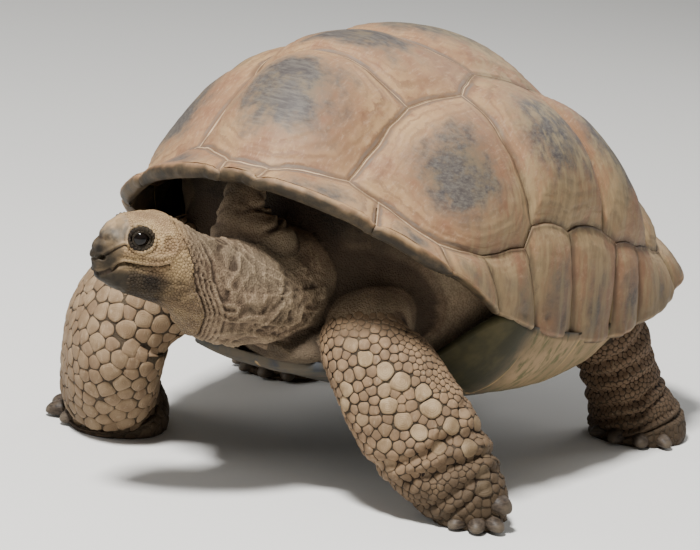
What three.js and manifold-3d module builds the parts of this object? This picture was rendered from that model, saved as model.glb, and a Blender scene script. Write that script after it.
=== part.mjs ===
// A giant tortoise (Aldabra), life size, standing in mid stride: the domed shell with its
// horny plates, the plastron under it, and the flesh that comes out of the two openings.
// Millimetres, +Z up, the floor at z = 0, the head end towards -Y, the animal's left at +X.
import * as THREE from 'three';
import { mergeVertices } from 'three/addons/utils/BufferGeometryUtils.js';
import Module from 'manifold-3d';

const wasm = await Module();
wasm.setup();

// ---------------------------------------------------------------- driving dimensions
const GAP = 0.35;                       // clearance kept between neighbouring solids
const SHELL_CENTRE = [26, 58];          // where the middle of the shell stands on the floor

// The carapace is one smooth dome. A place on it is named on a flat round map: the centre
// of the map is the top of the dome, radius 1 is the rim, -y is the head end.
const HALF_WIDTH = 352;
const HALF_LENGTH = 498;
const TOP_HEIGHT = 695;
const APEX_Y = -104;
const PLAN_EXPONENT = [2.1, 3.2];       // roundness of the outline, front and rear
const TAPER = 0.085;                    // the front is narrower than the rear
const RIM_BEARINGS = [0, 29, 51, 68, 99, 124, 141, 157, 180];
const RIM_HEIGHT = [529, 496, 411, 307, 226, 228, 268, 320, 345];
const RIM_FLARE = [20, 34, 42, 2, -2, 26, 96, 76, 66];
const DOME_BEARINGS = [0, 49, 90, 135, 180];
const DOME_FALL = [4.2, 2.4, 1.42, 2.25, 2.6];
const DOME_BELLY = [0.62, 0.95, 3.8, 1.4, 1.25];
const PLATE_THICKNESS = 14;
const RIM_THICKNESS = 23;
const PLATE_DOMING = 8;

// Corners of the horny plates on the flat map: [radius, bearing in degrees from the head].
// The right side mirrors the left.
const V1_C1 = [0.685, 28];
const V12_C1 = [0.385, 48];
const V2_C12 = [0.35, 73];
const V23_C2 = [0.275, 98];
const V3_C23 = [0.375, 117];
const V34_C3 = [0.4, 144];
const V4_C34 = [0.51, 142];
const V45_C4 = [0.55, 161];
// The seam above the marginal plates from the nuchal plate to the tail: map radius and
// bearing of the seam, then the bearing of the same place on the rim.
const SEAM = [
  [0.8, 7, 5],
  [0.745, 14, 15],
  [0.685, 28, 29],
  [0.725, 36, 35.5],
  [0.805, 50, 53],
  [0.845, 61, 66.5],
  [0.87, 73, 78],
  [0.825, 76, 80],
  [0.875, 88.5, 92],
  [0.855, 103, 102],
  [0.87, 108, 107],
  [0.845, 118, 118],
  [0.815, 128, 128],
  [0.82, 134, 134],
  [0.79, 146, 146],
  [0.75, 157.5, 158],
  [0.81, 171.5, 171.5],
];

// The plastron closes the shell below: plan half width and the height of its edge,
// from the gulars at the throat (y negative) to the anals.
const PLASTRON_STATIONS = [
  // y, half width, height of the edge, height of the middle, squareness of the section
  [-404, 80, 214, 206, 2.5],
  [-385, 118, 211, 196, 2.5],
  [-330, 150, 204, 180, 2.5],
  [-262, 196, 200, 160, 3],
  [-205, 312, 272, 144, 4],
  [-110, 330, 240, 130, 6],
  [24, 342, 212, 124, 7],
  [130, 344, 202, 124, 7],
  [200, 340, 202, 129, 6],
  [250, 318, 204, 138, 5],
  [285, 214, 196, 148, 3],
  [335, 168, 198, 164, 2.5],
  [385, 116, 206, 180, 2.5],
  [402, 70, 212, 196, 2.5],
];
const PLASTRON_THICKNESS = 15;

// Limbs: centre line x, y, z, then half width across, half depth, and corner exponent.
const LIMBS = {
  front_left: [
    [118, -200, 338, 80, 80, 2.2],
    [138, -272, 340, 78, 78, 2.2],
    [147, -328, 312, 68, 70, 2.2],
    [166, -345, 262, 76, 66, 2.3],
    [204, -338, 206, 87, 64, 2.4],
    [240, -327, 156, 91, 62, 2.4],
    [282, -312, 106, 86, 62, 2.4],
    [318, -297, 62, 73, 60, 2.3],
    [344, -286, 28, 60, 56, 2.3],
    [366, -278, -6, 38, 40, 2.2],
  ],
  front_right: [
    [-118, -190, 332, 84, 80, 2.2],
    [-182, -250, 302, 92, 82, 2.2],
    [-250, -288, 260, 100, 79, 2.2],
    [-294, -300, 216, 112, 78, 2.3],
    [-312, -300, 176, 121, 80, 2.4],
    [-330, -280, 122, 117, 80, 2.4],
    [-347, -252, 76, 111, 79, 2.3],
    [-349, -232, 46, 106, 79, 2.3],
    [-347, -223, 22, 113, 88, 2.3],
    [-345, -219, 0, 108, 83, 2.3],
  ],
  rear_left: [
    [212, 190, 318, 78, 88, 2.2],
    [232, 250, 288, 74, 82, 2.2],
    [256, 306, 226, 68, 76, 2.2],
    [276, 346, 162, 64, 67, 2.2],
    [290, 368, 108, 62, 66, 2.2],
    [302, 384, 64, 66, 70, 2.3],
    [313, 394, 30, 75, 80, 2.3],
    [321, 398, 8, 79, 84, 2.3],
    [322, 398, 0, 74, 79, 2.3],
  ],
  rear_right: [
    [-210, 180, 318, 76, 88, 2.2],
    [-228, 220, 288, 72, 82, 2.2],
    [-250, 256, 226, 66, 76, 2.2],
    [-278, 262, 162, 64, 67, 2.2],
    [-292, 276, 108, 62, 66, 2.2],
    [-302, 286, 64, 66, 70, 2.3],
    [-310, 293, 30, 75, 80, 2.3],
    [-314, 296, 8, 79, 84, 2.3],
    [-314, 296, 0, 74, 79, 2.3],
  ],
};
// Claws: bearing round the foot (0 = ahead, + to the animal's left), distance of the
// claw's base from the foot's middle, height of the base, and half width.
const FEET = { front_left: [352, -284], front_right: [-346, -222], rear_left: [320, 397], rear_right: [-313, 295] };
const CLAWS = {
  front_left: [[-42, 47, 12, 12], [-8, 50, 12, 12.5], [26, 50, 12, 12.5], [59, 49, 14, 13], [90, 42, 42, 14]],
  front_right: [[-88, 100, 14, 13], [-58, 95, 14, 14], [-28, 84, 14, 14], [2, 81, 14, 14], [32, 88, 14, 13]],
  rear_left: [[-30, 76, 13, 12], [-2, 77, 13, 13], [28, 77, 13, 13], [58, 76, 13, 12]],
  rear_right: [[-58, 76, 13, 12], [-28, 77, 13, 13], [2, 77, 13, 13], [30, 76, 13, 12]],
};

const TAIL = [
  [4, 352, 268, 66, 56, 2],
  [6, 400, 262, 56, 48, 2],
  [10, 446, 236, 44, 38, 2],
  [16, 480, 196, 32, 28, 2],
  [22, 500, 152, 20, 18, 2],
  [26, 508, 120, 8, 8, 2],
];

// The head has a frame of its own: origin midway between the eyes, x forward, y to its
// left, z up. It is turned towards the animal's right and held nearly level.
const HEAD_ORIGIN = [-107, -629, 426];
const HEAD_TURN = 40;
const HEAD_PITCH = -3;
// x, top, bottom, half width, exponent: the cranium with the upper beak
const SKULL = [
  [-84, 12, -92, 54, 2.2],
  [-66, 27, -90, 59, 2.3],
  [-44, 35, -84, 61, 2.4],
  [-20, 37, -76, 58, 2.4],
  [0, 35, -68, 52, 2.4],
  [20, 30, -60, 43, 2.4],
  [38, 20, -56, 33, 2.4],
  [50, 8, -54, 24, 2.3],
  [57, -8, -50, 16, 2.2],
  [60, -20, -44, 9, 2],
];
const JAW = [
  [-80, -30, -134, 50, 2.2],
  [-58, -34, -120, 53, 2.3],
  [-34, -38, -107, 50, 2.3],
  [-10, -42, -98, 43, 2.3],
  [14, -46, -90, 34, 2.3],
  [32, -50, -82, 25, 2.2],
  [45, -52, -76, 16, 2.1],
  [50, -54, -70, 9, 2],
];
const EYE_RADIUS = 14;
const EYE_SIDE = 42;
const EYE_HEIGHT = 0;

const NECK = [
  [-50, -560, 362, 58, 72, 2.1],
  [-40, -528, 344, 67, 84, 2.1],
  [-24, -478, 335, 77, 89, 2.1],
  [-10, -424, 331, 87, 93, 2.1],
  [0, -360, 329, 96, 98, 2.1],
  [0, -280, 330, 100, 100, 2.1],
];

const CLAW_LENGTH = 32;

const COLOURS = {
  plate: 0x9c7d68,
  plastron: 0x8a7a63,
  skin: 0x7d6e5c,
  eye: 0x0d0a08,
  claw: 0x3f382f,
};
const ROUGHNESS = { plate: 0.6, plastron: 0.65, skin: 0.85, eye: 0.08, claw: 0.5 };

// ---------------------------------------------------------------- small tools
const V = (x, y, z) => new THREE.Vector3(x, y, z);
const mix = (a, b, t) => a + (b - a) * t;
const signedPower = (c, e) => Math.sign(c) * Math.abs(c) ** e;

// A smooth value that is the same left and right: cubic through stations set by bearing.
function around(bearing, stations, values) {
  const b = Math.abs(((bearing + 540) % 360) - 180);
  const xs = [-stations[1], ...stations, 360 - stations[stations.length - 2]];
  const ys = [values[1], ...values, values[values.length - 2]];
  let i = 1;
  while (i < xs.length - 3 && b > xs[i + 1]) i += 1;
  const h = xs[i + 1] - xs[i];
  const u = (b - xs[i]) / h;
  const m0 = (ys[i + 1] - ys[i - 1]) / (xs[i + 1] - xs[i - 1]);
  const m1 = (ys[i + 2] - ys[i]) / (xs[i + 2] - xs[i]);
  return (2 * u ** 3 - 3 * u ** 2 + 1) * ys[i] + (u ** 3 - 2 * u ** 2 + u) * h * m0
    + (-2 * u ** 3 + 3 * u ** 2) * ys[i + 1] + (u ** 3 - u ** 2) * h * m1;
}

// Cubic through rows of numbers, at t from 0 to 1 over the whole table.
function along(table, t) {
  const n = table.length - 1;
  const i = Math.min(n - 1, Math.floor(t * n));
  const u = t * n - i;
  const at = (k) => table[Math.max(0, Math.min(n, k))];
  return table[0].map((_, c) => {
    const [p0, p1, p2, p3] = [at(i - 1)[c], at(i)[c], at(i + 1)[c], at(i + 2)[c]];
    return 0.5 * (2 * p1 + (p2 - p0) * u + (2 * p0 - 5 * p1 + 4 * p2 - p3) * u * u
      + (3 * p1 - p0 - 3 * p2 + p3) * u ** 3);
  });
}

// ---------------------------------------------------------------- the dome of the shell
const onMap = (radius, bearing) => {
  const b = THREE.MathUtils.degToRad(bearing);
  return new THREE.Vector2(radius * Math.sin(b), -radius * Math.cos(b));
};

function domeSurface(m) {
  const t = Math.min(1, m.length());
  const phi = Math.atan2(m.x, -m.y);
  const bearing = THREE.MathUtils.radToDeg(phi);
  const rim = around(bearing, RIM_BEARINGS, RIM_HEIGHT);
  const flare = around(bearing, RIM_BEARINGS, RIM_FLARE);
  const fall = around(bearing, DOME_BEARINGS, DOME_FALL);
  const belly = around(bearing, DOME_BEARINGS, DOME_BELLY);
  const c = Math.cos(phi);
  const s = Math.sin(phi);
  const n = mix(PLAN_EXPONENT[1], PLAN_EXPONENT[0], (1 + c) / 2);
  const reach = (Math.abs(s) ** n + Math.abs(c) ** n) ** (-1 / n);
  const rx = HALF_WIDTH * reach * s * (1 - TAPER * reach * c);
  const ry = -HALF_LENGTH * reach * c;
  const h = Math.sin((Math.PI * t) / 2);
  const up = Math.max(0, 1 - h ** fall) ** (1 / belly);
  const k = Math.max(0, (h - 0.8) / 0.2) ** 2;
  const r = Math.hypot(rx, ry);
  return V(rx * h + (flare * k * rx) / r, APEX_Y * (1 - h) + ry * h + (flare * k * ry) / r,
    rim + (TOP_HEIGHT - rim) * up);
}

// A point of the dome, sunk by a depth along the surface's own inward direction.
function dome(m, depth = 0) {
  const p = domeSurface(m);
  if (depth === 0) return p;
  const e = 0.004;
  const q = m.length() > 0.985 ? m.clone().multiplyScalar(0.985 / m.length()) : m;
  const a = domeSurface(q.clone().add(new THREE.Vector2(e, 0)));
  const b = domeSurface(q.clone().add(new THREE.Vector2(-e, 0)));
  const c = domeSurface(q.clone().add(new THREE.Vector2(0, e)));
  const d = domeSurface(q.clone().add(new THREE.Vector2(0, -e)));
  const n = a.sub(b).cross(c.sub(d)).normalize();
  return p.addScaledVector(n, -depth);
}

// ---------------------------------------------------------------- solids from grids
// A grid of points as a closed surface: rows run the long way, columns go round.
function geometryFrom(points, faces) {
  const g = new THREE.BufferGeometry();
  g.setAttribute('position', new THREE.Float32BufferAttribute(points.flatMap((p) => [p.x, p.y, p.z]), 3));
  g.setIndex(faces);
  return g;
}

// Two solids that share a wall must split its twisted quads along the same diagonal, so
// the choice rests only on where the quad is: the diagonal that runs down towards the tail.
function slopesBack(p, q) {
  const d = q.clone().sub(p);
  const inward = V(0, 0, 200).sub(p);
  return ((Math.abs(q.x) - Math.abs(p.x)) * 0.7 + d.y + d.z * 0.3) * d.dot(inward);
}

// The end of a body of rings: a fan from the ring's middle.
function fanEnd(points, faces, ring, base, flip) {
  const count = ring.length;
  points.push(ring.reduce((s, p) => s.add(p), V(0, 0, 0)).divideScalar(count));
  for (let i = 0; i < count; i += 1) {
    const a = base + i;
    const b = base + ((i + 1) % count);
    if (flip) faces.push(points.length - 1, b, a);
    else faces.push(points.length - 1, a, b);
  }
}

// The end of a thin curved plate, whose ring runs out along one face and back along the
// other: a strip from face to face.
function stripEnd(points, faces, ring, base, flip) {
  const last = base + ring.length - 1;
  for (let i = 0; i < ring.length / 2 - 1; i += 1) {
    const corners = [base + i, base + i + 1, last - i - 1, last - i];
    const [a, b, c, d] = flip ? corners.reverse() : corners;
    faces.push(a, b, c, a, c, d);
  }
}

// Rings of equal count joined into a tube, closed at both ends by a fan round a middle.
function closedRings(rings, ends = fanEnd) {
  const count = rings[0].length;
  const points = rings.flat();
  const faces = [];
  for (let j = 0; j < rings.length - 1; j += 1) {
    for (let i = 0; i < count; i += 1) {
      const a = j * count + i;
      const b = j * count + ((i + 1) % count);
      const [c, d] = [b + count, a + count];
      if (slopesBack(points[a], points[c]) > slopesBack(points[b], points[d])) {
        faces.push(a, b, c, a, c, d);
      } else {
        faces.push(a, b, d, b, c, d);
      }
    }
  }
  ends(points, faces, rings[0], 0, true);
  ends(points, faces, rings[rings.length - 1], (rings.length - 1) * count, false);
  return outward(geometryFrom(points, faces));
}

// Faces turned outward: the signed volume tells which way round they are.
function outward(g) {
  const p = g.getAttribute('position');
  const f = Array.from(g.getIndex().array);
  const [a, b, c] = [V(), V(), V()];
  let volume = 0;
  for (let i = 0; i < f.length; i += 3) {
    a.fromBufferAttribute(p, f[i]);
    b.fromBufferAttribute(p, f[i + 1]);
    c.fromBufferAttribute(p, f[i + 2]);
    volume += a.dot(b.cross(c));
  }
  if (volume < 0) {
    for (let i = 0; i < f.length; i += 3) [f[i + 1], f[i + 2]] = [f[i + 2], f[i + 1]];
    g.setIndex(f);
  }
  return g;
}

function solid(geometry) {
  const g = geometry.clone();
  g.deleteAttribute('normal');
  g.deleteAttribute('uv');
  const m = mergeVertices(g, 1e-3);
  return new wasm.Manifold(new wasm.Mesh({
    numProp: 3,
    vertProperties: new Float32Array(m.getAttribute('position').array),
    triVerts: new Uint32Array(m.getIndex().array),
  }));
}

function geometryOf(manifold) {
  const m = manifold.getMesh();
  const g = new THREE.BufferGeometry();
  g.setAttribute('position', new THREE.BufferAttribute(new Float32Array(m.vertProperties), 3));
  g.setIndex(new THREE.BufferAttribute(new Uint32Array(m.triVerts), 1));
  return g;
}

// The largest piece left after cutting `tools` out of `body`.
function cut(body, tools) {
  const left = tools.reduce((s, t) => s.subtract(t), body);
  const pieces = left.decompose().sort((a, b) => b.volume() - a.volume());
  return pieces[0];
}

// A tube round a centre line given by rows of x, y, z, half width, half depth, exponent.
// Half widths lie across the line and level with the floor; each ring is square to it.
function tube(table, rows, columns, levelEnd = false, grow = 0) {
  const rings = [];
  for (let j = 0; j <= rows; j += 1) {
    const t = j / rows;
    const s = along(table, t);
    const before = along(table, Math.max(0, t - 0.01));
    const after = along(table, Math.min(1, t + 0.01));
    const tangent = V(after[0] - before[0], after[1] - before[1], after[2] - before[2]).normalize();
    if (levelEnd && t > 0.8) tangent.lerp(V(0, 0, -1), (t - 0.8) / 0.2).normalize();
    const beyond = j === 0 ? -grow : j === rows ? grow : 0;
    [s[0], s[1], s[2]] = [0, 1, 2].map((k) => s[k] + beyond * tangent.getComponent(k));
    rings.push({ s, tangent });
  }
  let side = V(1, 0, 0);
  return closedRings(rings.map(({ s, tangent }) => {
    side = side.clone().addScaledVector(tangent, -side.dot(tangent)).normalize();
    const deep = tangent.clone().cross(side);
    const ring = [];
    for (let i = 0; i < columns; i += 1) {
      const a = (2 * Math.PI * i) / columns;
      const e = 2 / s[5];
      ring.push(V(s[0], s[1], s[2])
        .addScaledVector(side, (s[3] + grow) * signedPower(Math.cos(a), e))
        .addScaledVector(deep, (s[4] + grow) * signedPower(Math.sin(a), e)));
    }
    return ring;
  }));
}

// ---------------------------------------------------------------- shell plates
// A plate whose outline is a loop of map corners. Each edge is split in two, a long one
// in four; rings shrink from the outline to the middle, and the underside repeats them.
const LONG_EDGE = 0.28;

function hornPlate(corners, rings = 3) {
  const loop = corners.map((c) => onMap(...c));
  const edge = [];
  loop.forEach((a, i) => {
    const b = loop[(i + 1) % loop.length];
    const parts = a.distanceTo(b) > LONG_EDGE ? 4 : 2;
    for (let k = 0; k < parts; k += 1) edge.push(a.clone().lerp(b, k / parts));
  });
  const centre = edge.reduce((s, p) => s.add(p), new THREE.Vector2()).divideScalar(edge.length);
  const outline = edge.map((p) => towards(p, centre, GAP * 0.9));
  const layer = (depth) => Array.from({ length: rings }, (_, j) => {
    const k = 1 - (0.86 * j) / rings;
    const rise = depth === 0 ? PLATE_DOMING * (1 - k * k) : 0;
    return outline.map((p) => dome(centre.clone().lerp(p, k), depth - rise));
  });
  return closedRings([...layer(0).reverse(), ...layer(PLATE_THICKNESS)]);
}

// A map point moved towards another by a length in millimetres over the dome.
function towards(p, q, length) {
  const near = p.clone().lerp(q, 0.01);
  return p.clone().lerp(q, (0.01 * length) / domeSurface(p).distanceTo(domeSurface(near)));
}

// A run of marginal plates: a strip between the seam above them and the rim, thicker at
// the rim. Each stretch of the seam is split in the middle.
function rimPlates(rows) {
  const cuts = 3;
  const lines = [];
  rows.forEach(([radius, bearing, rim], i) => {
    lines.push([onMap(radius, bearing), onMap(1, rim)]);
    if (i === rows.length - 1) return;
    const [nextRadius, nextBearing, nextRim] = rows[i + 1];
    const middle = onMap(radius, bearing).lerp(onMap(nextRadius, nextBearing), 0.5);
    lines.push([middle, onMap(1, (rim + nextRim) / 2)]);
  });
  const last = lines.length - 1;
  const pulled = lines.map(([a, b], i) => {
    const neighbour = i === 0 ? lines[1] : lines[last - 1];
    const end = i === 0 || i === last;
    const inner = end ? towards(a, neighbour[0], 1.9 * GAP) : a;
    const outer = end ? towards(b, neighbour[1], 1.9 * GAP) : b;
    return [towards(inner, outer, GAP / 2), outer];
  });
  return closedRings(pulled.map(([a, b]) => {
    const section = [];
    for (let k = 0; k <= cuts; k += 1) section.push(dome(a.clone().lerp(b, k / cuts)));
    for (let k = cuts; k >= 0; k -= 1) {
      const depth = mix(PLATE_THICKNESS, RIM_THICKNESS, k / cuts);
      section.push(dome(a.clone().lerp(b, k / cuts), depth));
    }
    return section;
  }));
}

const mirrored = (rows) => rows.map(([radius, bearing, ...rest]) => (
  [radius, -bearing, ...rest.map((r) => -r)]));

// ---------------------------------------------------------------- plastron
// Its lower face at a place t from throat (0) to tail (1) and u from side to side (-1..1).
function plastronPoint(t, u, lift = 0) {
  const [y, half, edge, keel, square] = along(PLASTRON_STATIONS, t);
  return V(half * u, y, keel + (edge - keel) * Math.abs(u) ** square + lift);
}

function plastronPlate(grow = 0) {
  const rows = 17;
  const columns = 6;
  const rings = [];
  for (let j = 0; j <= rows; j += 1) {
    const t = j / rows;
    const ring = [];
    for (let i = 0; i <= columns; i += 1) {
      const u = Math.sin((Math.PI / 2) * ((2 * i) / columns - 1));
      ring.push(plastronPoint(t, u, -grow));
    }
    for (let i = columns; i >= 0; i -= 1) {
      const u = Math.sin((Math.PI / 2) * ((2 * i) / columns - 1));
      ring.push(plastronPoint(t, u, PLASTRON_THICKNESS + grow));
    }
    rings.push(ring);
  }
  return closedRings(rings, stripEnd);
}

// ---------------------------------------------------------------- trunk
// The flesh inside the shell: it lines the dome, leaves it some way in from the rim at
// the two openings, and comes down to the edge of the plastron.
const LEAVE_BEARINGS = [0, 35, 58, 76, 116, 138, 180];
const LEAVE_RADIUS = [0.52, 0.56, 0.7, 0.86, 0.86, 0.74, 0.66];
// Where the flesh meets the plastron: bearing, x, y and place along the plastron.
const SILL_BEARINGS = [0, 25, 44, 58, 71, 90, 112, 126, 142, 160, 180];
const SILL_X = [0, 96, 138, 172, 270, 312, 312, 214, 140, 62, 0];
const SILL_Y = [-374, -362, -312, -262, -190, 10, 190, 262, 330, 368, 376];

function trunkGeometry(grow = 0) {
  const columns = 22;
  const lining = 25 - grow;
  const heightOver = (x, y) => {
    let best = 0;
    for (let k = 0; k <= 200; k += 1) {
      if (Math.abs(along(PLASTRON_STATIONS, k / 200)[0] - y)
        < Math.abs(along(PLASTRON_STATIONS, best / 200)[0] - y)) best = k;
    }
    const half = along(PLASTRON_STATIONS, best / 200)[1];
    return plastronPoint(best / 200, Math.min(1, Math.abs(x) / half),
      PLASTRON_THICKNESS + 2.5 - grow).z;
  };
  const rows = Array.from({ length: columns }, (_, i) => {
    const bearing = (360 * i) / columns;
    const leave = around(bearing, LEAVE_BEARINGS, LEAVE_RADIUS);
    const x = around(bearing, SILL_BEARINGS, SILL_X) * (bearing > 180 ? -1 : 1);
    const y = around(bearing, SILL_BEARINGS, SILL_Y);
    const line = [];
    for (const k of [0.12, 0.35, 0.6, 0.82, 1]) line.push(dome(onMap(leave * k, bearing), lining));
    const top = line[line.length - 1];
    const sill = V(x, y, heightOver(x, y) + 4);
    const out = V(x, y, 0).normalize().multiplyScalar(grow * 1.5);
    for (const k of [0.33, 0.66, 1]) line.push(top.clone().lerp(sill, k).add(out));
    for (const k of [0.7, 0.35]) line.push(V(x * k, y * k, heightOver(x * k, y * k)));
    return line;
  });
  return closedRings(rows[0].map((_, j) => rows.map((line) => line[j])));
}

// ---------------------------------------------------------------- head
function headPlace(x, y, z) {
  const frame = new THREE.Matrix4().makeTranslation(...HEAD_ORIGIN)
    .multiply(new THREE.Matrix4().makeRotationZ(-THREE.MathUtils.degToRad(90 + HEAD_TURN)))
    .multiply(new THREE.Matrix4().makeRotationY(-THREE.MathUtils.degToRad(HEAD_PITCH)));
  return V(x, y, z).applyMatrix4(frame);
}

function headLoft(table, rows, columns) {
  const rings = [];
  for (let j = 0; j <= rows; j += 1) {
    const [x, top, bottom, half, n] = along(table, j / rows);
    const ring = [];
    for (let i = 0; i < columns; i += 1) {
      const a = (2 * Math.PI * i) / columns;
      ring.push(headPlace(x, half * signedPower(Math.cos(a), 2 / n),
        (top + bottom) / 2 + ((top - bottom) / 2) * signedPower(Math.sin(a), 2 / n)));
    }
    rings.push(ring);
  }
  return closedRings(rings);
}

function eyeball(side, grow = 0) {
  const g = new THREE.SphereGeometry(EYE_RADIUS + grow, 10, 7);
  const p = headPlace(0, EYE_SIDE * side, EYE_HEIGHT);
  return g.translate(p.x, p.y, p.z);
}

// ---------------------------------------------------------------- claws
// A blunt nail: it leaves the foot level and its rounded tip droops a little.
function claw(foot, [bearing, distance, height, half], grow = 0) {
  const b = THREE.MathUtils.degToRad(bearing);
  const out = V(Math.sin(b), -Math.cos(b), 0);
  const across = V(Math.cos(b), Math.sin(b), 0);
  const rows = [
    [-0.18, 0, 0.8],
    [0.2, 0, 1],
    [0.7, -2, 0.84],
    [1, -5, 0.36],
  ];
  return closedRings(rows.map(([forward, droop, size], j) => {
    const end = j === 0 ? -grow : grow;
    const ring = [];
    for (let i = 0; i < 6; i += 1) {
      const a = (2 * Math.PI * i) / 6;
      ring.push(V(...FEET[foot], height + droop)
        .addScaledVector(out, distance + forward * CLAW_LENGTH + end)
        .addScaledVector(across, (half * size + grow) * Math.cos(a))
        .addScaledVector(V(0, 0, 1), (half * 0.72 * size + grow) * Math.sin(a)));
    }
    return ring;
  }));
}

// ---------------------------------------------------------------- the animal
const tortoise = new THREE.Group();
tortoise.name = 'giant_tortoise';
tortoise.position.set(...SHELL_CENTRE, 0);

function place(name, geometry, kind) {
  const g = geometry.index ? geometry.toNonIndexed() : geometry;
  g.computeVertexNormals();
  const mesh = new THREE.Mesh(g, new THREE.MeshStandardMaterial({
    color: COLOURS[kind], roughness: ROUGHNESS[kind], metalness: 0, flatShading: true,
  }));
  mesh.name = name;
  tortoise.add(mesh);
  return mesh;
}

// Shell: five plates down the back, four on each side, and the rim.
const pair = (c) => [c[0], -c[1]];
place('vertebral_scute_1', hornPlate([SEAM[0], SEAM[1], V1_C1, V12_C1, pair(V12_C1),
  pair(V1_C1), pair(SEAM[1]), pair(SEAM[0])].map((c) => [c[0], c[1]])), 'plate');
place('vertebral_scute_2', hornPlate([V12_C1, V2_C12, V23_C2, pair(V23_C2), pair(V2_C12),
  pair(V12_C1)]), 'plate');
place('vertebral_scute_3', hornPlate([V23_C2, V3_C23, V34_C3, pair(V34_C3), pair(V3_C23),
  pair(V23_C2)]), 'plate');
place('vertebral_scute_4', hornPlate([V34_C3, V4_C34, V45_C4, pair(V45_C4), pair(V4_C34),
  pair(V34_C3)]), 'plate');
place('vertebral_scute_5', hornPlate([V45_C4, SEAM[15], SEAM[16], pair(SEAM[16]),
  pair(SEAM[15]), pair(V45_C4)].map((c) => [c[0], c[1]])), 'plate');

const flank = [
  [V12_C1, V1_C1, SEAM[3], SEAM[4], SEAM[5], SEAM[6], SEAM[7], V2_C12],
  [V2_C12, SEAM[7], SEAM[8], SEAM[9], V3_C23, V23_C2],
  [V3_C23, SEAM[9], SEAM[10], SEAM[11], SEAM[12], V4_C34, V34_C3],
  [V4_C34, SEAM[12], SEAM[13], SEAM[14], SEAM[15], V45_C4],
];
const runs = { front: [0, 5], side: [5, 11], rear: [11, 16] };
for (const [side, sign] of [['left', 1], ['right', -1]]) {
  flank.forEach((corners, i) => {
    place(`costal_scute_${side}_${i + 1}`, hornPlate(corners.map((c) => [c[0], sign * c[1]])), 'plate');
  });
  for (const [run, [from, to]] of Object.entries(runs)) {
    const rows = SEAM.slice(from, to + 1);
    place(`marginal_scutes_${run}_${side}`, rimPlates(sign > 0 ? rows : mirrored(rows)), 'plate');
  }
}
place('nuchal_scute', rimPlates([...mirrored([SEAM[0]]), SEAM[0]]), 'plate');
place('supracaudal_scute', rimPlates([SEAM[16], [SEAM[16][0], 360 - SEAM[16][1], 360 - SEAM[16][2]]]), 'plate');

place('plastron', plastronPlate(), 'plastron');

const grownPlastron = solid(plastronPlate(GAP * 1.2));
place('trunk', geometryOf(cut(solid(trunkGeometry()), [grownPlastron])), 'skin');
const grownTrunk = solid(trunkGeometry(GAP));

const grownNeck = solid(tube(NECK, 6, 13, false, GAP));
place('neck', geometryOf(cut(solid(tube(NECK, 6, 13)), [grownTrunk, grownPlastron])), 'skin');
place('tail', geometryOf(cut(solid(tube(TAIL, 6, 8)), [grownTrunk, grownPlastron])), 'skin');

const skull = solid(headLoft(SKULL, 10, 14));
const jaw = solid(headLoft(JAW, 7, 12));
const sockets = [1, -1].map((s) => solid(eyeball(s, GAP)));
place('head', geometryOf(cut(skull.add(jaw), [...sockets, grownNeck])), 'skin');
place('eye_left', eyeball(1), 'eye');
place('eye_right', eyeball(-1), 'eye');

// Everything below the floor is cut off the feet, which leaves them flat soles.
const below = solid(new THREE.BoxGeometry(1400, 1600, 100).translate(0, 0, -50));
for (const [limb, table] of Object.entries(LIMBS)) {
  const nails = CLAWS[limb].map((c) => solid(claw(limb, c, GAP)));
  const leg = solid(tube(table, 11, 12, limb !== 'front_left'));
  place(`leg_${limb}`, geometryOf(cut(leg, [grownTrunk, grownPlastron, grownNeck, below, ...nails])), 'skin');
  CLAWS[limb].forEach((c, i) => place(`claw_${limb}_${i + 1}`, claw(limb, c), 'claw'));
}

export default tortoise;
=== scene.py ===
"""Giant tortoise, life size: the finished surfaces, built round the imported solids."""

import bpy
import numpy as np
from mathutils import Matrix, Vector


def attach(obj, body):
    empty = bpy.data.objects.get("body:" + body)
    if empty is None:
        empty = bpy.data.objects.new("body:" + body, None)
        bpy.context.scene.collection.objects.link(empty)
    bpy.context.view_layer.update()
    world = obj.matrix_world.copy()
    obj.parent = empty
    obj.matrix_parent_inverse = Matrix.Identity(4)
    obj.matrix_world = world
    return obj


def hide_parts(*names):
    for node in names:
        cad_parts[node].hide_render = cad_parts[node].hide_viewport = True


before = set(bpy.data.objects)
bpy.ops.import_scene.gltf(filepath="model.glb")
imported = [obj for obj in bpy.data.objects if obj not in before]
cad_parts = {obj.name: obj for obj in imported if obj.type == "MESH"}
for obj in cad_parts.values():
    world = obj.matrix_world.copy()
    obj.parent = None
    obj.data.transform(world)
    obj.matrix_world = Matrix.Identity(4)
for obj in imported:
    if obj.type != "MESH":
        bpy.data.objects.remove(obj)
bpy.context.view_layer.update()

# ---- Carapace plates ------------------------------------------------------------------
# Thirteen plates of horn roof the shell: five down the back, four on each side. Each grew
# outwards from its middle, a ring a year, and is bedded on bone with a pale seam between.
# Lengths are in millimetres in the shell's own frame, whose middle stands at SHELL_CENTRE.
MM = 0.001
SHELL_CENTRE = np.array([26.0, 58.0, 0.0])

HALF_WIDTH = 352
HALF_LENGTH = 498
TOP_HEIGHT = 695
APEX_Y = -104
PLAN_EXPONENT_FRONT = 2.1
PLAN_EXPONENT_REAR = 3.2
TAPER = 0.085
RIM_BEARINGS = [0, 29, 51, 68, 99, 124, 141, 157, 180]
RIM_HEIGHT = [529, 496, 411, 307, 226, 228, 268, 320, 345]
RIM_FLARE = [20, 34, 42, 2, -2, 26, 96, 76, 66]
DOME_BEARINGS = [0, 49, 90, 135, 180]
DOME_FALL = [4.2, 2.4, 1.42, 2.25, 2.6]
DOME_BELLY = [0.62, 0.95, 3.8, 1.4, 1.25]
FLARE_STARTS = 0.8

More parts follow.
